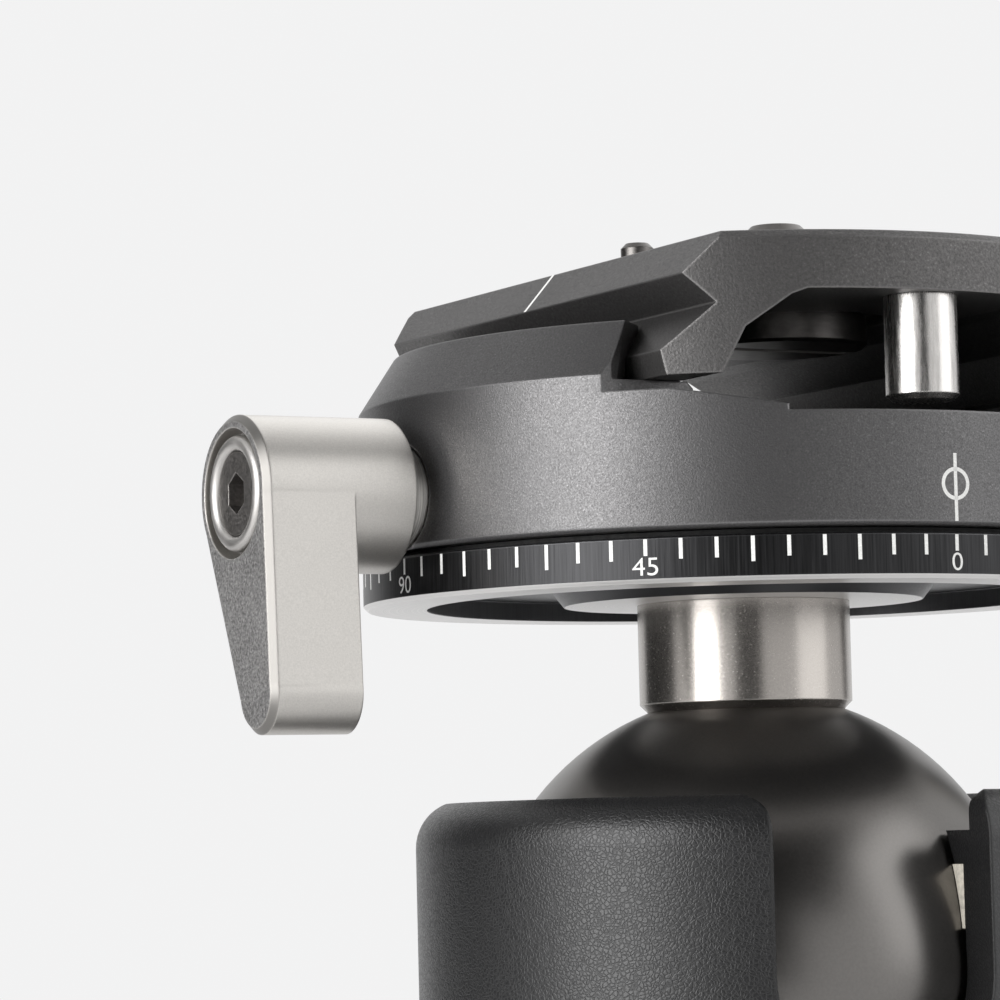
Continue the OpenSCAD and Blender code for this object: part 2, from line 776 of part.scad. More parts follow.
module ball() {
    color("#4a4c50") difference() {
        translate([0, 0, ball_z]) sphere(r = ball_r);
        translate([-ball_r, -ball_r, neck_z]) cube(2 * ball_r);
        translate([0, 0, neck_z - bolt_depth - 0.5]) cylinder(r = bolt_r + seated, h = ball_r);
    }
}

module neck() {
    color("#a5a29b") difference() {
        translate([0, 0, neck_z]) rotate_extrude() polygon([[0, 0], [flat_r, 0], [neck_r, neck_chamfer],
            [neck_r, ring_z - neck_z], [0, ring_z - neck_z]]);
        translate([0, 0, neck_z - over]) cylinder(r = stem_bore_r, h = stem_h);
    }
}

module pan_ring() {
    top_chamfer = 0.15;
    color("#1c1c1e") translate([0, 0, ring_z]) rotate_extrude() polygon([
        [stem_bore_r, 0], [ring_boss_d / 2, 0], [ring_boss_d / 2 + 0.8 * ring_recess_h, ring_recess_h],
        [ring_recess_r, ring_recess_h], [ring_recess_r, 0], [ring_r - ring_chamfer, 0],
        [ring_r, ring_chamfer], [ring_r, ring_h - top_chamfer], [ring_r - top_chamfer, ring_h],
        [stem_bore_r, ring_h]]);
}

module pan_hub() {
    color("#9b9da0") difference() {
        translate([0, 0, ring_top]) cylinder(r = hub_r, h = hub_top - ring_top);
        translate([0, 0, ring_top - over]) cylinder(r = stem_bore_r, h = hub_top);
        translate([0, 0, ring_top + hub_web]) cylinder(r = bolt_head_d / 2 + running, h = hub_top);
        vee_groove(hub_r, lever_z);
        polar(retainer_screw_count, retainer_screw_ring, 45)
            translate([0, 0, retainer_top - retainer_screw_l - 0.5])
            cylinder(r = retainer_screw_d / 2 + seated, h = retainer_screw_l);
    }
}

module stem_bolt() {
    head_z = ring_top + hub_web;
    color("#3b3b3c") difference() {
        union() {
            translate([0, 0, head_z]) cylinder(d = bolt_head_d, h = bolt_head_h - running);
            translate([0, 0, neck_z - bolt_depth]) cylinder(r = bolt_r, h = head_z - neck_z + bolt_depth);
        }
        translate([0, 0, head_z + bolt_head_h / 3]) cylinder(d = bolt_d * 0.85, h = bolt_head_h, $fn = 6);
    }
}

module pan_glide_ring() {
    color("#161617")
        tube(ring_r - glide_inset, hub_r + glide_gap, ring_top, ring_top + ring_gap - running);
}

module hub_retainer() {
    color("#2c2d2f") difference() {
        tube(retainer_r, stop_boss_d / 2 + seated, hub_top, retainer_top);
        polar(retainer_screw_count, retainer_screw_ring, 45) translate([0, 0, retainer_top]) mirror([0, 0, 1])
            countersink(retainer_screw_d, retainer_screw_l);
    }
}

module stop_button() {
    r = stop_boss_d / 2;
    top = retainer_top + stop_boss_h;
    color("#2c2d2f") rotate_extrude() polygon([[0, hub_top], [r, hub_top], [r, top - edge_chamfer],
        [r - edge_chamfer, top], [0, top]]);
}

module retainer_screws() {
    color("#3a3b3d") polar(retainer_screw_count, retainer_screw_ring, 45) translate([0, 0, retainer_top])
        mirror([0, 0, 1]) countersunk(retainer_screw_d, retainer_screw_l);
}

// Clamp

// Half of the channel's section on the fixed jaw's side, down to the recess
function channel_side() = [[-nose_half, clamp_h + over], [-nose_half, nose_h], [-pocket_half, pocket_h],
    [-pocket_half, ledge_h], [-ledge_in - ledge_round, ledge_h], [-ledge_in, ledge_h - ledge_round],
    [-ledge_in, floor_at(ledge_in)], [-recess_half, floor_low], [-recess_half, recess_h]];

// Height of the sloped floor at half width x
function floor_at(x) = floor_low + (floor_high - floor_low) * (x - recess_half) / (slope_out - recess_half);

module clamp_body() {
    color("#5f6063") difference() {
        clamp_outline();
        // Channel between the jaws, open to the moving jaw's side
        translate([0, 0, clamp_z]) along_channel(ledge_l + over) polygon(concat(channel_side(), [
            [recess_half, recess_h], [recess_half, floor_low], [ledge_in, floor_at(ledge_in)],
            [ledge_in, ledge_h - ledge_round], [ledge_in + ledge_round, ledge_h],
            [clamp_r, ledge_h], [clamp_r, clamp_h + over]]));
        // Lower floor beyond the ledges' ends
        for (m = [0, 1]) mirror([0, m, 0]) translate([0, (ledge_l + clamp_d) / 2, clamp_z])
            along_channel(clamp_d) polygon([[-clamp_r, clamp_h + over], [-clamp_r, floor_high],
                [-slope_out, floor_high], [-recess_half, floor_low], [-recess_half, recess_h],
                [recess_half, recess_h], [recess_half, floor_low], [slope_out, floor_high],
                [clamp_r, floor_high], [clamp_r, clamp_h + over]]);
        translate([split_x, -clamp_r, clamp_z - over]) cube([clamp_r, clamp_d, clamp_h + 2 * over]);
        jaw_ends();
        translate([0, 0, clamp_z - over]) cylinder(r = hub_r + running, h = clamp_h);
        translate([0, 0, hub_top - retainer_gap]) cylinder(r = retainer_r + loose, h = clamp_h);
        on_wall(0, clamp_r + lever_gap, lever_z) shaft_hole(pan_shaft_d, clamp_r + lever_gap - hub_r + over);
        on_wall(180, hub_r, lever_z) cylinder(r = lock_shaft_d / 2 + running, h = clamp_r);
        on_guides() {
            cylinder(r = guide_d / 2 + running, h = clamp_r);
            translate([0, 0, split_x - spring_pocket_l]) cylinder(r = spring_pocket_r, h = clamp_r);
        }
    }
}

// Cuts the fixed jaw's ends above the ledges: a turned end face, then a leaning face that leads the plate in
module jaw_ends() {
    end_y = jaw_l / 2;
    lead_y = end_y + (lead_x - jaw_end_x) * tan(jaw_end_turn);
    for (m = [0, 1]) mirror([0, m, 0]) translate([0, 0, clamp_z + ledge_h]) {
        translate([-jaw_end_x, end_y, 0]) rotate([0, 0, -jaw_end_turn])
            translate([-clamp_r, 0, 0]) cube([clamp_d, clamp_d, clamp_h]);
        intersection() {
            translate([-lead_x, lead_y, 0]) rotate([0, 0, -45]) rotate([-lead_lean, 0, 0])
                translate([-clamp_r, 0, -clamp_h]) cube([clamp_d, clamp_r, 3 * clamp_h]);
            translate([-clamp_r, 0, 0]) cube([clamp_d, clamp_d, clamp_h]);
        }
    }
}

// The two guides of the moving jaw, along +Z from the pan axis outward
module on_guides() {
    for (s = [-1, 1]) on_wall(180, 0, lever_z) translate([0, s * guide_spacing / 2, 0]) children();
}

module jaw_springs() {
    color("#b8b8b6") on_guides() translate([0, 0, split_x - spring_pocket_l + seated]) coil_spring();
}

// Clamp pan lock lever

module on_pan_lock() {
    on_wall(0, clamp_r + lever_gap, lever_z) children();
}

module pan_lever() {
    color("#c9c6c0") on_pan_lock() rotate([0, 0, lever_turn])
        lever(hub_lever_d, tail_lever_d, lever_reach, pan_shaft_d);
}

module pan_ferrule() {
    color("#e4e2de") on_pan_lock() ferrule(hub_lever_d);
}

module pan_lever_screw() {
    color("#3b3a39") on_pan_lock() lever_screw(hub_lever_d);
}

module pan_shaft() {
    pad_back = hub_r - groove_depth + running + pad_l;
    color("#a9a7a3") on_pan_lock() lever_shaft(pan_shaft_d, clamp_r + lever_gap - pad_back - slack_room);
}

module pan_brake_pad() {
    color("#b5913e") on_wall(0, hub_r - groove_depth + running, lever_z) vee_pad(pan_shaft_d, pad_l);
}

// Moving jaw

module moving_jaw() {
    color("#5f6063") difference() {
        clamp_outline();
        translate([0, 0, clamp_z]) along_channel(2 * clamp_d) polygon([
            [-clamp_d, -over], [jaw_in, -over], [jaw_in, ledge_h + loose], [pocket_half, ledge_h + loose],
            [pocket_half, pocket_h], [nose_half, nose_h], [nose_half, clamp_h + over],
            [-clamp_d, clamp_h + over]]);
        mirror([1, 0, 0]) jaw_ends();
        on_wall(180, clamp_r + lever_gap, lever_z) shaft_hole(lock_shaft_d, clamp_r);
        on_guides() cylinder(r = guide_d / 2 + seated, h = guide_out + seated);
    }
}

module guide_pins() {
    color("#c4c4c2") on_guides() translate([0, 0, guide_in]) cylinder(d = guide_d, h = guide_out - guide_in);
}

module on_jaw_lock() {
    on_wall(180, clamp_r + lever_gap, lever_z) children();
}

module jaw_lever() {
    color("#c9c6c0") on_jaw_lock() rotate([0, 0, lever_turn])
        lever(hub_lever_d, tail_lever_d, lever_reach, lock_shaft_d);
}

module jaw_ferrule() {
    color("#e4e2de") on_jaw_lock() ferrule(hub_lever_d);
}

module jaw_lever_screw() {
    color("#3b3a39") on_jaw_lock() lever_screw(hub_lever_d);
}

module jaw_shaft() {
    color("#a9a7a3") on_jaw_lock()
        lever_shaft(lock_shaft_d, clamp_r + lever_gap - hub_r - slack_room);
}

// Camera plate

// The plate's own pieces, measured from the underside of its feet
module on_plate() {
    translate([0, 0, plate_z]) children();
}

// A round ended slot along Y
module stadium(half_l, r, h) {
    for (s = [-1, 1]) translate([0, s * half_l, 0]) cylinder(r = r, h = h);
    translate([-r, -half_l, 0]) cube([2 * r, 2 * half_l, h]);
}

module camera_plate() {
    foot = foot_gap / 2;
    half = [[top_w / 2, plate_h], [flange_w / 2, plate_h - flange_drop], [vee_half, vee_h],
        [dovetail_half, dovetail_h], [dovetail_half - foot_draft, 0], [foot, 0],
        [foot - foot_lean, foot_wall_h], [foot - foot_lean - foot_slope, slab_h - foot_blend_h],
        [foot - foot_lean - foot_slope - foot_blend, slab_h]];
    outline = concat(half, [for (i = [len(half) - 1 : -1 : 0]) [-half[i].x, half[i].y]]);
    screw_r = camera_screw_d / 2;
    color("#55565a") on_plate() difference() {
        intersection() {
            along_channel(2 * (plate_r + over)) polygon(outline);
            rotate_extrude() polygon([[0, -over], [plate_r, -over], [plate_r, plate_h - plate_chamfer],
                [plate_r - plate_chamfer - over, plate_h + over], [0, plate_h + over]]);
        }
        // Camera screw's slot, with the recesses for its head and its clip
        translate([0, slot_y, slab_h - over]) stadium(slot_travel, screw_r + hole_wall, plate_h);
        translate([0, slot_y, slab_h - over])
            stadium(slot_travel, camera_head_d / 2 + hole_wall, over + head_recess_h);
        translate([0, slot_y, plate_h - clip_recess_h])
            stadium(slot_travel, screw_r + clip_w + 2 * hole_wall, plate_h);
        translate([0, locating_y, plate_h - locating_seat])
            cylinder(r = locating_d / 2 + seated, h = plate_h);
        for (s = [-1, 1]) {
            translate([s * strip_spacing / 2 - strip_w / 2, -strip_l / 2, plate_h - strip_groove])
                translate([-seated, -seated, 0]) cube([strip_w + 2 * seated, strip_l + 2 * seated, plate_h]);
            translate([0, s * pin_y, slab_h - over]) cylinder(r = pin_d / 4 + seated, h = over + pin_shank_l);
        }
    }
}

module rubber_strips() {
    color("#151515") on_plate() for (s = [-1, 1])
        translate([s * strip_spacing / 2 - strip_w / 2, -strip_l / 2, plate_h - strip_groove])
        cube([strip_w, strip_l, strip_groove + strip_h]);
}

module stop_pins() {
    pin_r = pin_d / 2;
    color("#d5d5d3") on_plate() for (s = [-1, 1]) translate([0, s * pin_y, slab_h]) {
        rotate_extrude() polygon([[0, -pin_l], [pin_r - pin_chamfer, -pin_l], [pin_r, -pin_l + pin_chamfer],
            [pin_r, -seated], [0, -seated]]);
        translate([0, 0, -over]) cylinder(r = pin_r / 2, h = over + pin_shank_l - seated);
    }
}

module locating_pin() {
    pin_r = locating_d / 2;
    low = plate_h - locating_seat + seated;
    top = plate_h + locating_h;
    color("#2b2b2c") on_plate() translate([0, locating_y, 0]) rotate_extrude()
        polygon([[0, low], [pin_r, low], [pin_r, top - pin_chamfer], [pin_r - pin_chamfer, top], [0, top]]);
}

module screw_clip() {
    low = plate_h - clip_recess_h + running;
    color("#8d8d8b") on_plate() translate([0, screw_y, 0])
        tube(camera_screw_d / 2 + clip_w, shank_r + running, low, low + clip_h);
}

// The screw is captive: the clip rides on the thin shank under the thread
module camera_screw() {
    head_r = camera_head_d / 2;
    head_top = slab_h + head_recess_h - running;
    head_low = head_top - head_h;
    screw_r = camera_screw_d / 2;
    thread_low = plate_h - hole_wall;
    tip = plate_h + camera_screw_h;
    color("#2b2b2c") on_plate() translate([0, screw_y, 0]) difference() {
        rotate_extrude() polygon([[0, head_low], [head_r, head_low], [head_r, head_top], [shank_r, head_top],
            [shank_r, thread_low], [screw_r, thread_low], [screw_r, tip - tip_chamfer],
            [screw_r - tip_chamfer, tip], [0, tip]]);
        // Coin slot
        translate([-camera_head_d, -coin_slot / 2, head_low - over])
            cube([2 * camera_head_d, coin_slot, over + coin_slot]);
    }
}

base_disc();
tripod_bush();
spindle();
base_screws();
base_glide_ring();
housing();
bearing_plate();
bearing_screws();
floor_disc();
seat_liner();
pressure_cup();
lock_wedge();
main_lever();
main_ferrule();
main_screw();
main_shaft();
base_lever();
base_ferrule();
base_lever_screw();
base_shaft();
base_brake_pad();
ball();
neck();
pan_ring();
pan_hub();
stem_bolt();
pan_glide_ring();
hub_retainer();
stop_button();
retainer_screws();
clamp_body();
jaw_springs();
pan_lever();
pan_ferrule();
pan_lever_screw();
pan_shaft();
pan_brake_pad();
moving_jaw();
guide_pins();
jaw_lever();
jaw_ferrule();
jaw_lever_screw();
jaw_shaft();
camera_plate();
rubber_strips();
stop_pins();
locating_pin();
screw_clip();
camera_screw();
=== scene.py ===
"""Dresses a tripod ball head: finishes, degree scale, marks, screw threads and a plain studio."""

import json
import math

import bmesh
import bpy
import numpy as np
from mathutils import Matrix, Vector


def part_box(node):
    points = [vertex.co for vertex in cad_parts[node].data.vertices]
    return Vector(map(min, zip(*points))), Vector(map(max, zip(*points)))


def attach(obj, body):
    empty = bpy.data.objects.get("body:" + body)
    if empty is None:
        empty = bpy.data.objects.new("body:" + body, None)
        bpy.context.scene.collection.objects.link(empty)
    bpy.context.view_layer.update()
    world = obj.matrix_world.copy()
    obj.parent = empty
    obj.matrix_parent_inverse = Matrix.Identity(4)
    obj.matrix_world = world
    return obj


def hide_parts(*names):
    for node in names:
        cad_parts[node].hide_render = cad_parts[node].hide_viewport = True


bl_info = {
    "name": "Ball Head Finishes",
    "version": (1, 0, 0),
    "blender": (4, 5, 0),
    "location": "View3D > Sidebar > Ball Head",
    "description": "Finishes, scale, marks and threads of a tripod ball head, with a plain studio",
    "category": "Object",
}

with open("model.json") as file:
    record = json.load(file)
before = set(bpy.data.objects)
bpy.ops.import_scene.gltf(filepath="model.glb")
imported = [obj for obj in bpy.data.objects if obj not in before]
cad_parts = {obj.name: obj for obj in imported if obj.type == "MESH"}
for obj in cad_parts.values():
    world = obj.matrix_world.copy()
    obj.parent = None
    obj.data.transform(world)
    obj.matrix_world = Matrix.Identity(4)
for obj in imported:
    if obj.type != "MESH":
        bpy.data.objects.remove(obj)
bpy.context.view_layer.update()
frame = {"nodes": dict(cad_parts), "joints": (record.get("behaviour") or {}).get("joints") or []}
NODES = frame["nodes"]
JOINTS = {joint["name"]: joint for joint in frame["joints"]}

MM = 0.001
TURN = 2 * math.pi


def node_size(name):
    """Lowest and highest corner of a node, in metres."""
    low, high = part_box(name)
    return tuple(map(float, low)), tuple(map(float, high))


RING_HIGH = node_size("pan_ring")[1]
CLAMP_LOW, CLAMP_HIGH = node_size("clamp_body")
PLATE_HIGH = node_size("camera_plate")[1]
STRIP_LOW, STRIP_HIGH = node_size("rubber_strips")
SCREW_LOW, SCREW_HIGH = node_size("camera_screw")
BUSH_LOW, BUSH_HIGH = node_size("tripod_bush")
RING_R = RING_HIGH[1]
CLAMP_R = CLAMP_HIGH[1]

# Axes of the levers on the clamp and on the housing
PAN_AXIS = (1.0, 0.0, 0.0)
HOUSING_AXIS = tuple(JOINTS["main_lock_turn"]["axis"])

# Recess in the ring's underside, whose black is lifted as painted reflected light: middle and half
# width of its floor, and the fade at its edge
RECESS_MIDDLE = 18.62 * MM
RECESS_HALF = 5.13 * MM
RECESS_FADE = 0.1 * MM

# Degrees between two numbers and between two long ticks
NUMBER_STEP = 45
LONG_STEP = 15
# Breadth of a number against the font's, the offset of its strokes, half its depth as a mesh,
# and its distance from the tick
NUMBER_BREADTH = 1.12
NUMBER_STROKE = -0.004
NUMBER_HALF = 0.5
NUMBER_GAP = 0.12 * MM
# The paint reaches this many times its height under the metal
SUNK = 3
# Points along a slab of paint, points of the whole slab, and points round the index circle
SLAB_STEPS = 4
SLAB_POINTS = 4 * SLAB_STEPS
CIRCLE_SIDES = 64

# Flats of a thread's crest and root as shares of its pitch
CREST_FLAT = 1 / 8
ROOT_FLAT = 1 / 4
# Points round and along the two threads, their small chamfers, and the first step of the lead-in
SCREW_SIDES, SCREW_ROWS = 96, 61
BUSH_SIDES, BUSH_ROWS = 80, 150
SCREW_EDGE = 0.25 * MM
BUSH_EDGE = 0.2 * MM
LEAD_STEP = 0.12 * MM
# Points that are closer than this are joined
JOIN = 1e-7
# Edges with a larger angle stay sharp
METAL_SHARP = math.radians(32)
RUBBER_SHARP = math.radians(50)

# Points across a rubber strip and along one rib, and how suddenly its sides and ends drop
STRIP_COLUMNS = 25
ROWS_PER_RIB = 8
SIDE_POWER = 6
END_POWER = 60

# Point that the studio's lights and cards face, and the distance of the softboxes
STUDIO_MIDDLE = Vector((0, 0, 0.085))
SOFTBOX_DISTANCE = 0.75
# Radii of the floor's rings, points round it, and the radii between which it fades out
FLOOR_RINGS = (0.0, 0.06, 0.15, 0.3, 0.6, 1.0, 1.4)
FLOOR_SIDES = 96
FLOOR_FADE = (0.22, 0.9)
SENSOR_WIDTH = 36.0
CLIP = (0.01, 50.0)


# Sizes and colours that a user may change

def length(name, description, value, precision=5):
    """A length property with its default in millimetres."""
    return bpy.props.FloatProperty(
        name=name, description=description, default=value * MM, unit="LENGTH",
        precision=precision)


def colour(name, description, value):
    """A colour property with its default."""
    return bpy.props.FloatVectorProperty(
        name=name, description=description, default=value, subtype="COLOR", size=3,
        min=0.0, max=1.0)


class ScaleSizes(bpy.types.PropertyGroup):
    """The degree scale round the pan ring and the marks on clamp and plate."""

    step: bpy.props.IntProperty(
        name="Step", description="Degrees between two ticks", default=5, min=1, max=15)
    line_w: length("Line width", "Width of a tick", 0.27)
    short_l: length("Short tick", "Length of a plain tick", 1.43)
    long_l: length("Long tick", "Length of a tick at 15 degrees", 1.76)
    number_l: length("Numbered tick", "Length of a tick with a number under it", 1.15)
    number_h: length("Number height", "Height of the numbers", 1.24)
    top_gap: length("Top gap", "Distance of the ticks from the ring's top", 0.18)
    proud: length("Paint height", "Height of the paint over the metal", 0.004, precision=6)
    index_low: length("Index foot", "Distance of the index line from the clamp's underside", 0.3)
    index_l: length("Index length", "Length of the index line", 4.74)
    index_d: length("Index circle", "Diameter of the circle on the index line", 2.31)
    index_z: length(
        "Circle height", "Height of the circle's middle over the clamp's underside", 2.91)
    centre_y: length("Centre line", "Place of the line across the plate's flange", 0.7)
    centre_w: length("Centre line width", "Width of that line", 0.35)
    flange_half: length("Flange", "Half width of the plate's flange", 17.75)
    flange_drop: length("Flange drop", "Height of the plate's top over the flange's edge", 2.85)
    top_half: length("Plate top", "Half width of the plate's flat top", 15.25)


class ThreadSizes(bpy.types.PropertyGroup):
    """The threads of the camera screw and the tripod bush."""

    screw_pitch: length("Camera pitch", "Pitch of the quarter inch thread", 1.27)
    bush_pitch: length("Tripod pitch", "Pitch of the three eighths inch thread", 1.5875)
    depth: bpy.props.FloatProperty(
        name="Depth", description="Depth of a thread as a share of its pitch", default=0.5,
        subtype="FACTOR", min=0.2, max=0.65)
    screw_r: length("Camera thread", "Radius of the camera screw's thread", 3.1)
    shank_r: length("Shank", "Radius of the thin shank under the thread", 2.6)
    head_h: length("Head", "Height of the camera screw's head", 2.6)
    thread_l: length("Thread length", "Length of the thread with its chamfered tip", 3.6)
    tip: length("Tip chamfer", "Chamfer on the screw's tip", 1.25)
    coin_slot: length("Coin slot", "Width and depth of the slot in the head", 1.4)
    bore_r: length("Tripod bore", "Radius inside the tripod thread", 3.97)
    bush_r: length("Bush", "Outer radius of the tripod bush", 8.325)
    flange_h: length("Bush flange", "Height of the flange at the bush's upper end", 1.9)


class RubberSizes(bpy.types.PropertyGroup):
    """The rubber strips on the plate."""

    width: length("Width", "Width of a strip", 4.5)
    ribs: bpy.props.IntProperty(
        name="Ribs", description="Ribs along a strip", default=34, min=8, max=80)
    rib_share: bpy.props.FloatProperty(
        name="Rib depth", subtype="FACTOR", default=0.35, min=0.0, max=0.8,
        description="Depth of the ribs as a share of the strip's height over the plate")


class FinishColours(bpy.types.PropertyGroup):
    """Base colours of the finishes."""

    clamp: colour("Clamp", "Bead-blasted dark anodised clamp", (0.115, 0.113, 0.114))
    plate: colour("Plate", "Bead-blasted dark anodised plate", (0.11, 0.107, 0.106))
    ring: colour("Ring", "Black anodised ring", (0.0245, 0.0245, 0.0255))
    machined: colour("Machined", "Bare machined rim and boss under the ring", (0.72, 0.71, 0.7))
    lever: colour("Lever", "Champagne anodised lever", (0.56, 0.541, 0.513))
    lever_end: colour("Lever end", "Coarsely blasted end face of a lever", (0.4, 0.392, 0.388))
    bright: colour("Bright steel", "Satin pins and ferrules", (0.63, 0.612, 0.592))
    oxide: colour("Dark oxide", "Black oxide screws", (0.15, 0.142, 0.136))
    worn_oxide: colour("Worn oxide", "Brushed heads of the lever screws", (0.24, 0.228, 0.218))
    steel: colour("Turned steel", "Turned shafts and bushes", (0.84, 0.805, 0.765))
    neck: colour("Neck", "Satin nickel neck", (0.4, 0.375, 0.35))
    ball: colour("Ball", "Satin nickel ball", (0.19, 0.182, 0.174))
    coat: colour("Coat", "Black grained coat of the housing", (0.011, 0.011, 0.0115))
    black: colour("Black anodised", "Black anodised base and plates", (0.02, 0.02, 0.021))
    brass: colour("Brass", "Turned brass", (0.62, 0.44, 0.17))
    liner: colour("Liner", "Pale bearing plastic", (0.62, 0.58, 0.5))
    rubber: colour("Rubber", "Black rubber", (0.014, 0.014, 0.014))
    paint: colour("Paint", "White paint in the engraved marks", (0.82, 0.82, 0.8))


class StudioLight(bpy.types.PropertyGroup):
    """Camera and light of the studio."""

    camera: bpy.props.FloatVectorProperty(
        name="Camera", description="Place of the camera", subtype="XYZ", unit="LENGTH", size=3,
        default=(-0.169182, -0.275188, 0.061752))
    look: bpy.props.FloatVectorProperty(
        name="Look", description="Direction of view", subtype="DIRECTION", size=3,
        default=(0.4736, 0.877, 0.0808))
    roll: bpy.props.FloatProperty(
        name="Roll", description="Turn of the camera about its view", subtype="ANGLE",
        default=math.radians(-1.37))
    lens: bpy.props.FloatProperty(
        name="Lens", description="Focal length in millimetres", unit="CAMERA", default=154.5)
    ground: colour("Background", "Colour of floor and background", (0.89, 0.89, 0.892))
    fill: bpy.props.FloatProperty(
        name="Fill", description="Strength of the world's light", default=0.62)
    key: bpy.props.FloatProperty(
        name="Key", description="Power of the left softbox", unit="POWER", default=6.8)
    side: bpy.props.FloatProperty(
        name="Side", description="Power of the right and the top softbox", unit="POWER",
        default=1.6)


# Small helpers for meshes

def new_object(name, data):
    """An object with that data, linked to the scene."""
    obj = bpy.data.objects.new(name, data)
    bpy.context.scene.collection.objects.link(obj)
    return obj


def piece_from(name, points, faces, material, body, smooth=True):
    """Makes a mesh object at the origin from points and faces, and lets it ride on a body."""
    mesh = bpy.data.meshes.new(name)
    mesh.from_pydata(np.asarray(points, float).tolist(), [], [list(map(int, f)) for f in faces])
    mesh.validate()
    mesh.polygons.foreach_set("use_smooth", np.full(len(mesh.polygons), smooth))
    mesh.materials.append(bpy.data.materials[material])
    mesh.update()
    if not mesh.polygons:
        raise RuntimeError(name + " has no faces")
    obj = new_object(name, mesh)
    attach(obj, body)
    return obj


def face_outward(obj, join=0.0):
    """Turns the faces of a closed mesh outwards, after joining points that lie on each other."""
    work = bmesh.new()
    work.from_mesh(obj.data)
    if join:
        bmesh.ops.remove_doubles(work, verts=work.verts, dist=join)
        bmesh.ops.dissolve_degenerate(work, edges=work.edges, dist=join)
    bmesh.ops.recalc_face_normals(work, faces=work.faces)
    work.to_mesh(obj.data)
    work.free()


def evaluated_mesh(obj):
    """A new mesh of a text, or of an object with its modifiers."""
    bpy.context.view_layer.update()
    graph = bpy.context.evaluated_depsgraph_get()
    return bpy.data.meshes.new_from_object(obj.evaluated_get(graph))


def cut_box(obj, low, high):
    """Cuts a box from a closed mesh, with a Boolean modifier whose result becomes the mesh."""
    (x0, y0, z0), (x1, y1, z1) = low, high
    corners = [(x, y, z) for x in (x0, x1) for y in (y0, y1) for z in (z0, z1)]
    sides = [(0, 1, 3, 2), (4, 6, 7, 5), (0, 4, 5, 1), (2, 3, 7, 6), (0, 2, 6, 4), (1, 5, 7, 3)]
    mesh = bpy.data.meshes.new("cutter")
    mesh.from_pydata(corners, [], sides)
    cutter = new_object("cutter", mesh)
    face_outward(cutter)
    step = obj.modifiers.new("cut", "BOOLEAN")
    step.operation = "DIFFERENCE"
    step.object = cutter
    made = evaluated_mesh(obj)
    before, obj.data = obj.data, made
    obj.modifiers.clear()
    bpy.data.objects.remove(cutter)
    bpy.data.meshes.remove(mesh)
    bpy.data.meshes.remove(before)


def grid_faces(rows, columns, wrap=False):
    """Quads of a grid of rows by columns of points, joined round the columns where wrap is set."""
    across = np.arange(columns if wrap else columns - 1)
    i, j = np.meshgrid(np.arange(rows - 1), across, indexing="ij")
    k = (j + 1) % columns
    here, after = i * columns, (i + 1) * columns
    return np.stack([here + j, here + k, after + k, after + j], axis=-1).reshape(-1, 4)


def slabs(outlines):
    """Thin closed slabs on a surface, each from an outline (u0, u1, v0, v1).

    The points of a slab are even steps from u0 to u1, at both v and in the layers 0 and 1.
    Returns the (u, v, layer) of all slabs, and their faces, which face outwards.
    """
    spans = np.asarray(outlines, float)
    count = len(spans)
    steps = np.linspace(0.0, 1.0, SLAB_STEPS)
    u = spans[:, 0, None] + (spans[:, 1] - spans[:, 0])[:, None] * steps
    grid = np.empty((count, SLAB_STEPS, 2, 2, 3))
    grid[..., 0] = u[:, :, None, None]
    grid[..., 1] = spans[:, None, 2:4, None]
    grid[..., 2] = np.array([0.0, 1.0])
    index = np.arange(SLAB_POINTS).reshape(SLAB_STEPS, 2, 2)
    one = []
    for a, b in zip(index[:-1], index[1:]):
        one += [[a[0, 1], b[0, 1], b[1, 1], a[1, 1]], [a[0, 0], a[1, 0], b[1, 0], b[0, 0]],
                [a[0, 0], b[0, 0], b[0, 1], a[0, 1]], [a[1, 0], a[1, 1], b[1, 1], b[1, 0]]]
    a, b = index[0], index[-1]
    one += [[a[0, 0], a[0, 1], a[1, 1], a[1, 0]], [b[0, 0], b[1, 0], b[1, 1], b[0, 1]]]
    faces = np.array(one)[None] + SLAB_POINTS * np.arange(count)[:, None, None]
    return grid.reshape(-1, 3), faces.reshape(-1, 4)


def on_cylinder(points, radius, proud):
    """Wraps (u, v, layer) on a cylinder round Z, with u the arc from -Y towards +X, v the height.

    The point lies at the angle u / radius. The layers 0 to 1 run from SUNK times proud under
    the surface to proud over it.
    """
    sunk = SUNK * proud
    angle = points[:, 0] / radius
    r = radius - sunk + points[:, 2] * (sunk + proud)
    return np.stack([r * np.sin(angle), -r * np.cos(angle), points[:, 1]], axis=-1)


# Small helpers for node trees

def add_node(tree, kind, inputs=None, **settings):
    """Adds a shader node, with its settings, and with values or links on its inputs."""
    made = tree.nodes.new(kind)
    for key, value in settings.items():
        setattr(made, key, value)
    for key, value in (inputs or {}).items():
        if isinstance(value, bpy.types.NodeSocket):
            tree.links.new(value, made.inputs[key])
        else:
            made.inputs[key].default_value = value
    return made


def math_node(tree, operation, a, b=0.0, clamp=False):
    """One Math node's output."""
    made = add_node(tree, "ShaderNodeMath", {0: a, 1: b}, operation=operation, use_clamp=clamp)
    return made.outputs[0]


def vector_node(tree, operation, a, b=(0.0, 0.0, 0.0)):
    """One Vector Math node's output: a number for a length or a dot product, else a vector."""
    made = add_node(tree, "ShaderNodeVectorMath", {0: a, 1: b}, operation=operation)
    return made.outputs["Value" if operation in ("LENGTH", "DOT_PRODUCT") else "Vector"]


def noise_node(tree, place, scale, detail=3.0, roughness=0.5):
    """A noise texture at a place."""
    values = {"Vector": place, "Scale": scale, "Detail": detail, "Roughness": roughness}
    return add_node(tree, "ShaderNodeTexNoise", values)


def mix_number(tree, fac, a, b):
    """One number Mix node's output: a where fac is 0, b where it is 1."""
    return add_node(tree, "ShaderNodeMix", {0: fac, 2: a, 3: b}).outputs[0]


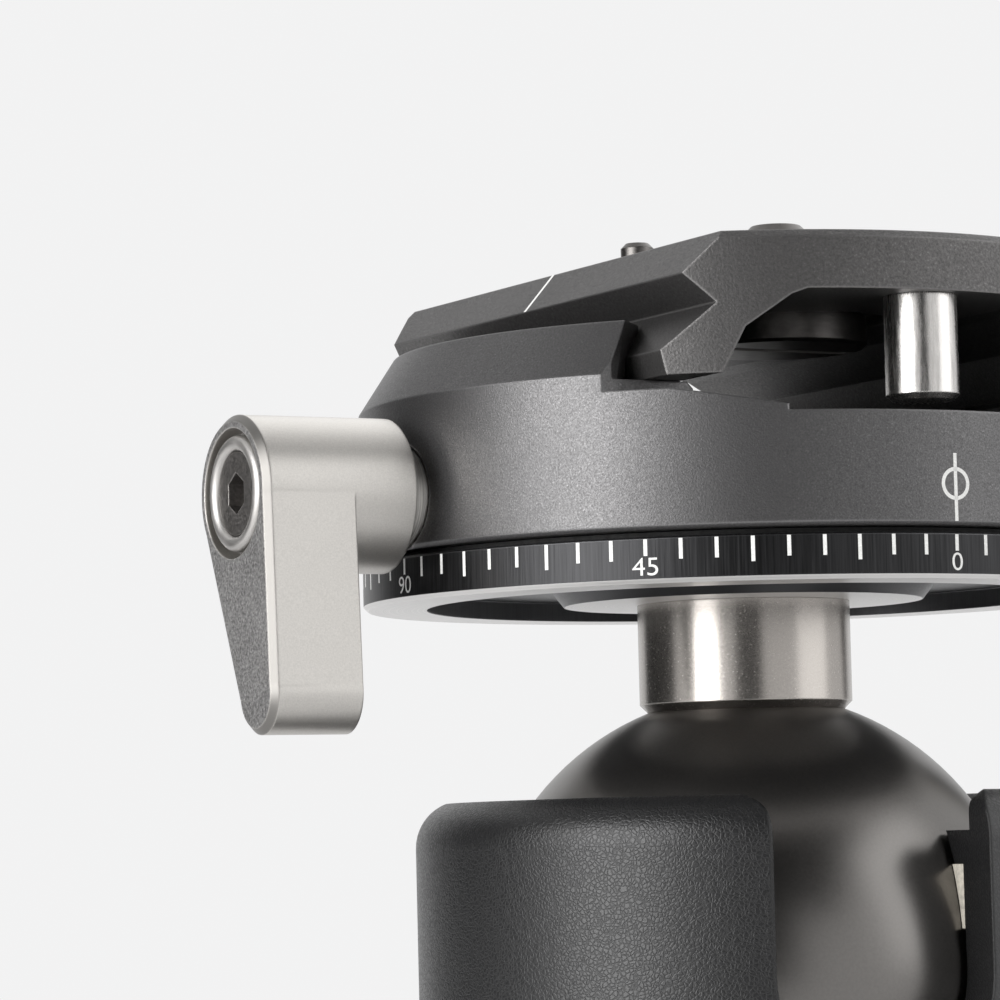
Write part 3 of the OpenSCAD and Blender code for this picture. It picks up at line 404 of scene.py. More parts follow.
def mix_colour(tree, fac, a, b):
    """One colour Mix node's output: a where fac is 0, b where it is 1."""
    return add_node(tree, "ShaderNodeMix", {0: fac, 6: a, 7: b}, data_type="RGBA").outputs[2]


def remap(tree, value, low, high, to_low=0.0, to_high=1.0):
    """A clamped Map Range from low..high to to_low..to_high."""
    ends = {0: value, 1: low, 2: high, 3: to_low, 4: to_high}
    return add_node(tree, "ShaderNodeMapRange", ends, clamp=True).outputs[0]


def object_place(tree):
    """The place of a point in its object."""
    return tree.nodes.new("ShaderNodeTexCoord").outputs["Object"]


def axis_distance(tree):
    """The distance of a point from its object's Z axis."""
    flat = vector_node(tree, "MULTIPLY", object_place(tree), (1.0, 1.0, 0.0))
    return vector_node(tree, "LENGTH", flat)


def facing(tree, axis):
    """Dot product of the surface's flat normal with an axis."""
    normal = tree.nodes.new("ShaderNodeNewGeometry").outputs["True Normal"]
    return vector_node(tree, "DOT_PRODUCT", normal, axis)


def shade(value, factor):
    """A colour made lighter or darker, as RGBA."""
    return tuple(min(1.0, c * factor) for c in value[:3]) + (1.0,)


def tones(tree, tone, base, low, high):
    """A colour that runs from low times to high times the base, by a tone from 0 to 1."""
    return mix_colour(tree, tone, shade(base, low), shade(base, high))


# Shader groups that the finishes share

def new_group(name, inputs, outputs):
    """An empty shader group with float inputs {name: default} and outputs {name: kind}."""
    tree = bpy.data.node_groups.new(name, "ShaderNodeTree")
    for label, default in inputs.items():
        socket = tree.interface.new_socket(label, in_out="INPUT", socket_type="NodeSocketFloat")
        socket.default_value = default
    for label, kind in outputs.items():
        tree.interface.new_socket(label, in_out="OUTPUT", socket_type="NodeSocket" + kind)
    return tree, tree.nodes.new("NodeGroupInput"), tree.nodes.new("NodeGroupOutput")


def put_out(tree, end, **values):
    """Links values to the outputs of a group."""
    for label, value in values.items():
        tree.links.new(value, end.inputs[label])


def blast_group():
    """Bead-blasted grain: two sizes of noise give a tone, also height, and painted glints."""
    tree, start, end = new_group(
        "bead_blast", {"Grain": 4200.0, "Patch": 160.0}, {"Tone": "Float", "Spark": "Float"})
    place = object_place(tree)
    fine = noise_node(tree, place, start.outputs["Grain"], roughness=0.65).outputs[0]
    patch = noise_node(tree, place, start.outputs["Patch"]).outputs[0]
    grain = remap(tree, fine, 0.3, 0.7)
    drift = math_node(tree, "MULTIPLY", math_node(tree, "SUBTRACT", patch, 0.5), 0.35)
    # The second output marks the brightest grains, which the finishes lighten as painted glints
    put_out(tree, end, Tone=math_node(tree, "ADD", grain, drift, clamp=True),
            Spark=remap(tree, fine, 0.64, 0.76))
    return tree


def edge_group():
    """Edges: a mask that rises where the rounded normal leaves the flat one, and that normal."""
    tree, start, end = new_group(
        "soft_edge", {"Radius": 0.00025, "Reach": 0.06}, {"Edge": "Float", "Normal": "Vector"})
    bevel = add_node(tree, "ShaderNodeBevel", {"Radius": start.outputs["Radius"]}, samples=6)
    rounded = bevel.outputs[0]
    flat = tree.nodes.new("ShaderNodeNewGeometry").outputs["Normal"]
    along = vector_node(tree, "DOT_PRODUCT", rounded, flat)
    leaves = math_node(tree, "SUBTRACT", 1.0, along, clamp=True)
    edge = math_node(tree, "DIVIDE", leaves, start.outputs["Reach"], clamp=True)
    put_out(tree, end, Edge=edge, Normal=rounded)
    return tree


def turned_group():
    """Turned lines: noise that depends only on the distance from an axis along Z."""
    tree, start, end = new_group("turned_lines", {"Lines": 9000.0}, {"Tone": "Float"})
    values = {"W": axis_distance(tree), "Scale": start.outputs["Lines"], "Detail": 3.0}
    lines = add_node(tree, "ShaderNodeTexNoise", values, noise_dimensions="1D")
    put_out(tree, end, Tone=remap(tree, lines.outputs[0], 0.3, 0.7))
    return tree


def brush_group():
    """Brushed lines: noise drawn out along one axis, by the scales along X, Y and Z."""
    tree, start, end = new_group(
        "brushed_lines", {"X": 6000.0, "Y": 6000.0, "Z": 120.0}, {"Tone": "Float"})
    scales = {axis: start.outputs[axis] for axis in "XYZ"}
    scale = add_node(tree, "ShaderNodeCombineXYZ", scales).outputs[0]
    drawn = vector_node(tree, "MULTIPLY", object_place(tree), scale)
    lines = noise_node(tree, drawn, 1.0, roughness=0.6).outputs[0]
    put_out(tree, end, Tone=remap(tree, lines, 0.28, 0.72))
    return tree


def leather_group():
    """Leather grain: warped cells with soft creases between them, over a fine noise."""
    tree, start, end = new_group(
        "leather_grain", {"Cells": 3300.0}, {"Height": "Float", "Crease": "Float"})
    place = object_place(tree)
    warp = noise_node(tree, place, 1300.0, detail=2.0).outputs["Color"]
    shift = vector_node(tree, "MULTIPLY", warp, (0.0005, 0.0005, 0.0005))
    moved = vector_node(tree, "ADD", place, shift)
    values = {"Vector": moved, "Scale": start.outputs["Cells"]}
    cells = add_node(tree, "ShaderNodeTexVoronoi", values, feature="DISTANCE_TO_EDGE")
    crease = remap(tree, cells.outputs["Distance"], 0.0, 0.22)
    fine = noise_node(tree, place, 5200.0, detail=2.0).outputs[0]
    height = math_node(tree, "ADD", crease, math_node(tree, "MULTIPLY", fine, 0.35))
    put_out(tree, end, Height=height, Crease=crease)
    return tree


GROUP_MAKERS = {"bead_blast": blast_group, "soft_edge": edge_group, "turned_lines": turned_group,
                "brushed_lines": brush_group, "leather_grain": leather_group}


def use_group(tree, name, **values):
    """Places a shared group in a material, with its own values, and returns its outputs."""
    made = tree.nodes.new("ShaderNodeGroup")
    made.node_tree = bpy.data.node_groups.get(name) or GROUP_MAKERS[name]()
    for label, value in values.items():
        made.inputs[label].default_value = value
    return made.outputs


# Finishes

def new_finish(name, metallic, roughness):
    """An empty material with its Principled shader, which gets the uniform values."""
    material = bpy.data.materials.new(name)
    material.use_nodes = True
    shader = material.node_tree.nodes["Principled BSDF"]
    shader.inputs["Metallic"].default_value = metallic
    shader.inputs["Roughness"].default_value = roughness
    return material, material.node_tree, shader


def put_colour(tree, shader, value):
    """Links a varying colour to a shader."""
    tree.links.new(value, shader.inputs["Base Color"])


def put_roughness(tree, shader, tone, low, high):
    """Links a roughness to a shader that runs from low to high by a tone from 0 to 1."""
    tree.links.new(remap(tree, tone, 0.0, 1.0, low, high), shader.inputs["Roughness"])


def put_bump(tree, shader, height, strength, distance, normal=None):
    """Links a Bump node to a shader's Normal."""
    inputs = {"Height": height, "Strength": strength, "Distance": distance}
    if normal is not None:
        inputs["Normal"] = normal
    made = add_node(tree, "ShaderNodeBump", inputs)
    tree.links.new(made.outputs[0], shader.inputs["Normal"])


def worn_edges(tree, edge, body, base, amount, gain):
    """Edges lighter by wear and painted highlight: by that amount, towards gain times the base."""
    wear_and_highlight = math_node(tree, "MULTIPLY", edge["Edge"], amount)
    return mix_colour(tree, wear_and_highlight, body, shade(base, gain))


def blasted(name, base, rough, grain, depth, edge_gain=2.6):
    """Bead-blasted anodised metal: grain in colour, gloss and height, painted glints, and
    edges lighter by wear and by a painted highlight.
    """
    material, tree, shader = new_finish(name, 0.9, rough)
    blast = use_group(tree, "bead_blast", Grain=grain)
    edge = use_group(tree, "soft_edge")
    body = tones(tree, blast["Tone"], base, low=0.72, high=1.25)
    # The brightest grains are painted lighter, as painted glints
    painted_glint = math_node(tree, "MULTIPLY", blast["Spark"], 0.5)
    body = mix_colour(tree, painted_glint, body, shade(base, 2.6))
    # Edges lighter by wear and by a painted highlight
    put_colour(tree, shader, worn_edges(tree, edge, body, base, amount=0.55, gain=edge_gain))
    put_roughness(tree, shader, blast["Tone"], low=rough + 0.06, high=rough - 0.06)
    put_bump(tree, shader, blast["Tone"], 0.5, depth, edge["Normal"])
    return material


def ring_finish(name, base, machined):
    """Black ring: upright brushed lines on its band, a dark recess below, bare rim and boss.

    The recess is where the distance from the axis lies within RECESS_HALF of RECESS_MIDDLE.
    There its black is lifted to three times the base, as painted reflected light.
    """
    material, tree, shader = new_finish(name, 0.9, 0.36)
    brush = use_group(tree, "brushed_lines", X=7000.0, Y=7000.0, Z=140.0)["Tone"]
    turned = use_group(tree, "turned_lines", Lines=7000.0)["Tone"]
    edge = use_group(tree, "soft_edge", Radius=0.00012)
    away = math_node(tree, "SUBTRACT", axis_distance(tree), RECESS_MIDDLE)
    away = math_node(tree, "ABSOLUTE", away)
    outside = remap(tree, away, RECESS_HALF, RECESS_HALF + RECESS_FADE)
    below = remap(tree, facing(tree, (0.0, 0.0, -1.0)), 0.45, 0.6)
    bare = math_node(tree, "MULTIPLY", below, outside)
    black = tones(tree, brush, base, low=0.75, high=1.75)
    # Inside the recess the black is lifted to three times the base, as painted reflected light
    black = mix_colour(tree, outside, shade(base, 3.0), black)
    # Edges lighter by wear and by a painted highlight
    black = worn_edges(tree, edge, black, base, amount=0.5, gain=9.0)
    metal = tones(tree, turned, machined, low=0.86, high=1.08)
    put_colour(tree, shader, mix_colour(tree, bare, black, metal))
    lines = mix_number(tree, bare, brush, turned)
    put_roughness(tree, shader, lines, low=0.3, high=0.42)
    put_bump(tree, shader, lines, 0.35, 0.000012, edge["Normal"])
    return material


def lever_finish(name, base, end, axis):
    """Anodised lever: satin sides with a fine grain, a cut bevel and coarsely blasted ends.

    How far a face looks along the lever's axis tells the sides from the bevel and the ends.
    """
    material, tree, shader = new_finish(name, 1.0, 0.39)
    fine = use_group(tree, "bead_blast", Grain=8200.0, Patch=120.0)
    coarse = use_group(tree, "bead_blast", Grain=4600.0, Patch=300.0)
    edge = use_group(tree, "soft_edge", Radius=0.0002)
    face = math_node(tree, "ABSOLUTE", facing(tree, axis))
    bevel = remap(tree, face, 0.5, 0.65)
    blast = remap(tree, face, 0.9, 0.97)
    side = tones(tree, fine["Tone"], base, low=0.9, high=1.07)
    side = mix_colour(tree, bevel, side, shade(base, 0.38))
    dull = tones(tree, coarse["Tone"], end, low=0.42, high=1.4)
    # The brightest grains of the blasted ends are painted lighter, as painted glints
    dull = mix_colour(tree, coarse["Spark"], dull, shade(end, 2.0))
    body = mix_colour(tree, blast, side, dull)
    # Edges lighter by wear and by a painted highlight
    put_colour(tree, shader, worn_edges(tree, edge, body, base, amount=0.5, gain=1.12))
    put_roughness(tree, shader, blast, low=0.39, high=0.5)
    tone = mix_number(tree, blast, fine["Tone"], coarse["Tone"])
    height = math_node(tree, "MULTIPLY", tone, remap(tree, blast, 0.0, 1.0, 0.06, 1.0))
    put_bump(tree, shader, height, 0.6, 0.00005, edge["Normal"])
    return material


def turned_finish(name, base, rough, scales, strength=0.3, spread=0.18):
    """Turned or brushed metal with fine lines drawn out by the scales along X, Y and Z."""
    material, tree, shader = new_finish(name, 1.0, rough)
    brush = use_group(tree, "brushed_lines", **dict(zip("XYZ", scales)))["Tone"]
    edge = use_group(tree, "soft_edge", Radius=0.00015)
    body = tones(tree, brush, base, low=1.0 - spread, high=1.0 + 0.55 * spread)
    # Edges lighter by wear and by a painted highlight
    put_colour(tree, shader, worn_edges(tree, edge, body, base, amount=0.4, gain=1.4))
    put_roughness(tree, shader, brush, low=rough - 0.28 * spread, high=rough + 0.4 * spread)
    put_bump(tree, shader, brush, strength, 0.00001, edge["Normal"])
    return material


def coat_finish(name, base):
    """Grained black coat: leather-like cells, duller and with painted shade in the creases."""
    material, tree, shader = new_finish(name, 0.0, 0.4)
    grain = use_group(tree, "leather_grain")
    edge = use_group(tree, "soft_edge", Radius=0.0004)
    # The creases are painted darker, as painted shade
    put_colour(tree, shader, tones(tree, grain["Crease"], base, low=0.7, high=1.1))
    put_roughness(tree, shader, grain["Crease"], low=0.46, high=0.3)
    put_bump(tree, shader, grain["Height"], 0.42, 0.00003, edge["Normal"])
    return material


def moulded_finish(name, base, rough):
    """Moulded plastic or rubber: fine dull noise in colour, gloss and height."""
    material, tree, shader = new_finish(name, 0.0, rough)
    tone = use_group(tree, "bead_blast", Grain=2600.0, Patch=200.0)["Tone"]
    put_colour(tree, shader, tones(tree, tone, base, low=0.75, high=1.3))
    put_roughness(tree, shader, tone, low=rough + 0.08, high=rough - 0.08)
    put_bump(tree, shader, tone, 0.4, 0.00003)
    return material


def paint_finish(name, base):
    """White paint in an engraving: slightly uneven in colour, dull."""
    material, tree, shader = new_finish(name, 0.0, 0.55)
    tone = use_group(tree, "bead_blast", Grain=6500.0, Patch=900.0)["Tone"]
    put_colour(tree, shader, tones(tree, tone, base, low=0.8, high=1.06))
    return material


def dress(material, *names):
    """Gives CAD nodes a finish on every material slot."""
    for name in names:
        obj = NODES[name]
        if not obj.material_slots:
            obj.data.materials.append(material)
        for place in obj.material_slots:
            place.material = material


class BALLHEAD_OT_finishes(bpy.types.Operator):
    """Gives every solid of the head its finish"""

    bl_idname = "ballhead.finishes"
    bl_label = "Finishes"

    def execute(self, context):
        c = context.scene.ballhead_colours
        dress(blasted("clamp_blasted", c.clamp, rough=0.4, grain=7600.0, depth=0.000016),
              "clamp_body", "moving_jaw")
        dress(blasted("plate_blasted", c.plate, rough=0.46, grain=5600.0, depth=0.000024),
              "camera_plate")
        dress(ring_finish("ring_black", c.ring, c.machined), "pan_ring")
        dress(lever_finish("lever_satin", c.lever, c.lever_end, PAN_AXIS),
              "pan_lever", "jaw_lever")
        dress(lever_finish("housing_lever_satin", c.lever, c.lever_end, HOUSING_AXIS),
              "main_lever", "base_lever")
        dress(coat_finish("housing_coat", c.coat), "housing")
        dress(blasted("black_blasted", c.black, rough=0.42, grain=4300.0, depth=0.00002,
                      edge_gain=6.0),
              "base_disc", "bearing_plate", "floor_disc", "hub_retainer", "stop_button")
        # Name, base, roughness, scales, then strength and spread where they aren't the usual ones
        turned = (
            (("ferrule_satin", shade(c.bright, 0.85), 0.45, (9000.0, 500.0, 500.0), 0.2),
             "main_ferrule", "base_ferrule", "pan_ferrule", "jaw_ferrule"),
            (("pin_satin", c.bright, 0.25, (4200.0, 4200.0, 500.0), 0.12), "stop_pins"),
            (("screw_oxide", c.oxide, 0.36, (900.0, 2600.0, 2600.0), 0.5),
             "stem_bolt", "base_screws", "bearing_screws", "retainer_screws", "camera_screw",
             "locating_pin"),
            (("screw_brushed", c.worn_oxide, 0.42, (5200.0, 5200.0, 5200.0), 0.4, 0.3),
             "main_screw", "base_lever_screw", "pan_lever_screw", "jaw_lever_screw"),
            (("shaft_turned", c.steel, 0.42, (11000.0, 200.0, 200.0), 0.5, 0.4),
             "main_shaft", "base_shaft", "pan_shaft", "jaw_shaft", "guide_pins", "jaw_springs"),
            (("hub_turned", c.steel, 0.3, (200.0, 200.0, 9000.0)),
             "spindle", "pan_hub", "tripod_bush", "screw_clip"),
            (("neck_satin", c.neck, 0.24, (5200.0, 5200.0, 6500.0), 0.1, 0.1), "neck"),
            (("ball_satin", c.ball, 0.31, (4600.0, 4600.0, 4600.0), 0.04, 0.08), "ball"),
            (("brass_turned", c.brass, 0.3, (500.0, 7000.0, 7000.0)),
             "lock_wedge", "base_brake_pad", "pan_brake_pad"))
        for values, *names in turned:
            dress(turned_finish(*values), *names)
        dress(moulded_finish("liner_pale", c.liner, rough=0.5), "seat_liner", "pressure_cup")
        dress(moulded_finish("rubber_black", c.rubber, rough=0.7),
              "rubber_strips", "base_glide_ring", "pan_glide_ring")
        paint_finish("mark_paint", c.paint)
        return {"FINISHED"}


# Scale and marks

def number_mesh(text, height):
    """Points and faces of a number: x runs along the line, y up and z over the layers 0 to 1."""
    curve = bpy.data.curves.new("number", "FONT")
    curve.body = text
    curve.align_x = "CENTER"
    curve.size = 1.0
    curve.extrude = NUMBER_HALF
    curve.offset = NUMBER_STROKE
    curve.resolution_u = 6
    holder = new_object("number", curve)
    mesh = evaluated_mesh(holder)
    points = np.empty(len(mesh.vertices) * 3)
    mesh.vertices.foreach_get("co", points)
    points = points.reshape(-1, 3)
    faces = [list(p.vertices) for p in mesh.polygons]
    bpy.data.objects.remove(holder)
    bpy.data.curves.remove(curve)
    bpy.data.meshes.remove(mesh)
    low, high = points[:, 1].min(), points[:, 1].max()
    points[:, :2] *= height / (high - low)
    points[:, 0] *= NUMBER_BREADTH
    points[:, 1] -= points[:, 1].max()
    points[:, 2] += NUMBER_HALF
    return points, faces


class BALLHEAD_OT_degree_scale(bpy.types.Operator):
    """Ticks and numbers round the pan ring, with the degrees growing towards the pan lever"""

    bl_idname = "ballhead.degree_scale"
    bl_label = "Degree scale"

    def execute(self, context):
        s = context.scene.ballhead_scale
        top = RING_HIGH[2] - s.top_gap
        degrees = np.arange(0, 360, s.step)
        plain = np.where(degrees % LONG_STEP == 0, s.long_l, s.short_l)
        reach = np.where(degrees % NUMBER_STEP == 0, s.number_l, plain)
        middle = -np.radians(degrees) * RING_R
        half = s.line_w / 2
        upper = np.full(len(degrees), top)
        outlines = np.stack([middle - half, middle + half, top - reach, upper], axis=-1)
        points, faces = slabs(outlines)
        piece_from("scale_ticks", on_cylinder(points, RING_R, s.proud), faces,
                   "mark_paint", "ball", smooth=False)
        spots, polygons, count = [], [], 0
        for degree in range(0, 360, NUMBER_STEP):
            outline, own = number_mesh(str(degree), s.number_h)
            place = (-math.radians(degree) * RING_R, top - s.number_l - NUMBER_GAP, 0.0)
            spots.append(on_cylinder(outline + np.array(place), RING_R, s.proud))
            polygons += [[i + count for i in face] for face in own]
            count += len(outline)
        piece_from("scale_numbers", np.concatenate(spots), polygons,
                   "mark_paint", "ball", smooth=False)
        return {"FINISHED"}


class BALLHEAD_OT_index_mark(bpy.types.Operator):
    """White index line with its circle on the clamp's front"""

    bl_idname = "ballhead.index_mark"
    bl_label = "Index mark"

    def execute(self, context):
        s = context.scene.ballhead_scale
        low = CLAMP_LOW[2] + s.index_low
        half = s.line_w / 2
        line, faces = slabs([(-half, half, low, low + s.index_l)])
        # The circle is a square section between two radii and two layers, carried round
        around = np.linspace(0.0, TURN, CIRCLE_SIDES, endpoint=False)
        outer = s.index_d / 2
        inner = outer - s.line_w
        section = np.array([(inner, 1.0), (outer, 1.0), (outer, 0.0), (inner, 0.0), (inner, 1.0)])
        r, layer = section[:, :1], section[:, 1:]
        middle = CLAMP_LOW[2] + s.index_z
        u, v = r * np.cos(around), middle + r * np.sin(around)
        circle = np.stack([u, v, layer + 0 * around], axis=-1).reshape(-1, 3)
        band = grid_faces(len(section), CIRCLE_SIDES, wrap=True)[:, ::-1]
        points = on_cylinder(np.concatenate([line, circle]), CLAMP_R, s.proud)
        piece_from("index_mark", points, np.concatenate([faces, band + SLAB_POINTS]),
                   "mark_paint", "clamp", smooth=False)
        return {"FINISHED"}


class BALLHEAD_OT_centre_lines(bpy.types.Operator):
    """White line across each sloped flange of the plate, from its flat top down to its edge"""

    bl_idname = "ballhead.centre_lines"
    bl_label = "Centre lines"

    def execute(self, context):
        s = context.scene.ballhead_scale
        half = s.centre_w / 2
        points, faces = slabs([(s.centre_y - half, s.centre_y + half, 0.0, 1.0)])
        # Each point runs down the slope by its v and stands off along the slope's normal
        run = np.array([s.flange_half - s.top_half, -s.flange_drop])
        across = np.array([-run[1], run[0]]) / np.linalg.norm(run)
        lift = (points[:, 2] * (SUNK + 1) - SUNK)[:, None] * s.proud * across
        spot = np.array([s.top_half, PLATE_HIGH[2]]) + points[:, 1, None] * run + lift
        right = np.stack([spot[:, 0], points[:, 0], spot[:, 1]], axis=-1)
        left = right * np.array([-1.0, 1.0, 1.0])
        sides = np.concatenate([faces[:, ::-1], faces + len(right)])
        piece_from("centre_lines", np.concatenate([right, left]), sides,
                   "mark_paint", "plate", smooth=False)
        return {"FINISHED"}


# Threads and rubber

def thread_depth(along, angle, pitch, depth):
    """Depth of a thread under its crest: a wave one pitch long that climbs with the angle.

    It is 0 on the flat of the crest and full on the flat of the root, with straight flanks.
    """
    phase = np.mod(along / pitch - angle / TURN, 1.0)
    from_root = np.abs(phase - 0.5)
    crest_at = (1 - CREST_FLAT) / 2
    flank = crest_at - ROOT_FLAT / 2
    return depth * pitch * np.clip((crest_at - from_root) / flank, 0.0, 1.0)


def revolved(heights, radii):
    """Points of rows of heights by angles round Z, at radii that are rows by angles too."""
    around = np.linspace(0.0, TURN, radii.shape[1], endpoint=False)
    rise = np.repeat(heights[:, None], len(around), 1)
    grid = np.stack([radii * np.cos(around), radii * np.sin(around), rise], axis=-1)
    return grid.reshape(-1, 3)


class BALLHEAD_OT_camera_thread(bpy.types.Operator):
    """Camera screw: head with its coin slot, thin shank and a cut thread with a chamfered tip"""

    bl_idname = "ballhead.camera_thread"
    bl_label = "Camera screw"

    def execute(self, context):
        t = context.scene.ballhead_threads
        low, high = SCREW_LOW[2], SCREW_HIGH[2]
        middle = (SCREW_LOW[1] + SCREW_HIGH[1]) / 2
        head_r, head_top = SCREW_HIGH[0], low + t.head_h
        start = high - t.thread_l
        angle = np.linspace(0.0, TURN, SCREW_SIDES, endpoint=False)
        # Plain part from the head's underside to the shank, then the thread, then the tip
        plain = np.array([
            (0.0, low), (head_r - SCREW_EDGE, low), (head_r, low + SCREW_EDGE),
            (head_r, head_top - SCREW_EDGE), (head_r - SCREW_EDGE, head_top),
            (t.shank_r, head_top), (t.shank_r, start)])
        z = np.linspace(start, high, SCREW_ROWS)
        cone = np.minimum(t.screw_r, t.screw_r - t.tip + (high - z))
        lead = np.minimum(t.screw_r, t.shank_r + LEAD_STEP + (z - start))
        crest = np.minimum(cone, lead)[:, None]
        cut = t.screw_r - thread_depth(z[:, None] - start, angle[None], t.screw_pitch, t.depth)
        heights = np.concatenate([plain[:, 1], z, [high]])
        plain_r = np.repeat(plain[:, :1], SCREW_SIDES, 1)
        radii = np.concatenate([plain_r, np.minimum(crest, cut), np.zeros((1, SCREW_SIDES))])
        points = revolved(heights, radii)
        points[:, 1] += middle
        faces = grid_faces(len(heights), SCREW_SIDES, wrap=True)
        screw = piece_from("camera_screw_cut", points, faces,
                           "screw_oxide", "camera_screw")
        face_outward(screw, JOIN)
        half, deep = t.coin_slot / 2, t.coin_slot
        cut_box(screw, (-2 * head_r, middle - half, low - deep),
                (2 * head_r, middle + half, low + deep))
        screw.data.set_sharp_from_angle(angle=METAL_SHARP)
        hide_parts("camera_screw")
        return {"FINISHED"}


class BALLHEAD_OT_tripod_thread(bpy.types.Operator):
    """Tripod bush with a cut three eighths inch thread and a lead-in at both ends"""

    bl_idname = "ballhead.tripod_thread"
    bl_label = "Tripod bush"

    def execute(self, context):
        t = context.scene.ballhead_threads
        low, high = BUSH_LOW[2], BUSH_HIGH[2]
        flange_r, flange_z = BUSH_HIGH[0], high - t.flange_h
        angle = np.linspace(0.0, TURN, BUSH_SIDES, endpoint=False)
        z = np.linspace(low, high, BUSH_ROWS)
        reach = t.bore_r + t.depth * t.bush_pitch
        bore = reach - thread_depth(z[:, None], angle[None], t.bush_pitch, t.depth)
        lead = np.maximum(reach - (z - low), reach - (high - z))[:, None]
        bore = np.maximum(bore, np.clip(lead, t.bore_r, reach))
        # The bore from below to above, then the flange and the outside down again
        outer = np.array([
            (flange_r - BUSH_EDGE, high), (flange_r, high - BUSH_EDGE),
            (flange_r, flange_z + BUSH_EDGE), (flange_r - BUSH_EDGE, flange_z),
            (t.bush_r, flange_z), (t.bush_r, low + BUSH_EDGE), (t.bush_r - BUSH_EDGE, low)])
        heights = np.concatenate([z, outer[:, 1], z[:1]])
        radii = np.concatenate([bore, np.repeat(outer[:, :1], BUSH_SIDES, 1), bore[:1]])
        faces = grid_faces(len(heights), BUSH_SIDES, wrap=True)[:, ::-1]
        bush = piece_from("tripod_bush_cut", revolved(heights, radii), faces,
                          "hub_turned", "base")
        face_outward(bush, JOIN)
        bush.data.set_sharp_from_angle(angle=METAL_SHARP)
        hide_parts("tripod_bush")
        return {"FINISHED"}


class BALLHEAD_OT_rubber_strips(bpy.types.Operator):
    """Two rubber strips on the plate's top, crowned and finely ribbed across, with soft edges"""

    bl_idname = "ballhead.rubber_strips"
    bl_label = "Rubber strips"

    def execute(self, context):
        r = context.scene.ballhead_rubber
        low, high = STRIP_LOW[2], STRIP_HIGH[2]
        # Over u across and v along, both from -1 to 1, the top stands over the plate by its rise
        # times a crown, 1 less high powers of u and v, times a cosine wave for the ribs
        u = np.sin(np.linspace(-1.0, 1.0, STRIP_COLUMNS) * math.pi / 2)[None, :]
        v = np.linspace(-1.0, 1.0, ROWS_PER_RIB * r.ribs + 1)[:, None]
        crown = (1 - np.abs(u) ** SIDE_POWER) * (1 - np.abs(v) ** END_POWER)
        rib = 1 - r.rib_share * (0.5 + 0.5 * np.cos(TURN * r.ribs * v / 2))
        x = np.broadcast_to(u * r.width / 2, crown.shape)
        y = np.broadcast_to(v * STRIP_HIGH[1], crown.shape)
        rise = high - PLATE_HIGH[2]
        top = np.stack([x, y, high - rise + rise * crown * rib], axis=-1)
        foot = np.stack([x, y, np.full(crown.shape, low)], axis=-1)
        # Top and foot are the same grid, joined by a wall round its rim
        under = crown.size
        over = grid_faces(*crown.shape)
        index = np.arange(under).reshape(crown.shape)
        rim = np.concatenate([index[0, :], index[1:, -1], index[-1, -2::-1], index[-2:0:-1, 0]])
        after = np.roll(rim, -1)
        wall = np.stack([rim, rim + under, after + under, after], axis=-1)
        faces = np.concatenate([over, over[:, ::-1] + under, wall])
        strip = np.concatenate([top.reshape(-1, 3), foot.reshape(-1, 3)])
        shift = np.array([STRIP_HIGH[0] - r.width / 2, 0, 0])
        both = np.concatenate([strip + shift, strip - shift])
        pair = np.concatenate([faces, faces + len(strip)])
        strips = piece_from("rubber_strips_ribbed", both, pair,
                            "rubber_black", "plate")
        face_outward(strips)
        strips.data.set_sharp_from_angle(angle=RUBBER_SHARP)
        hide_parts("rubber_strips")
        return {"FINISHED"}


# Studio

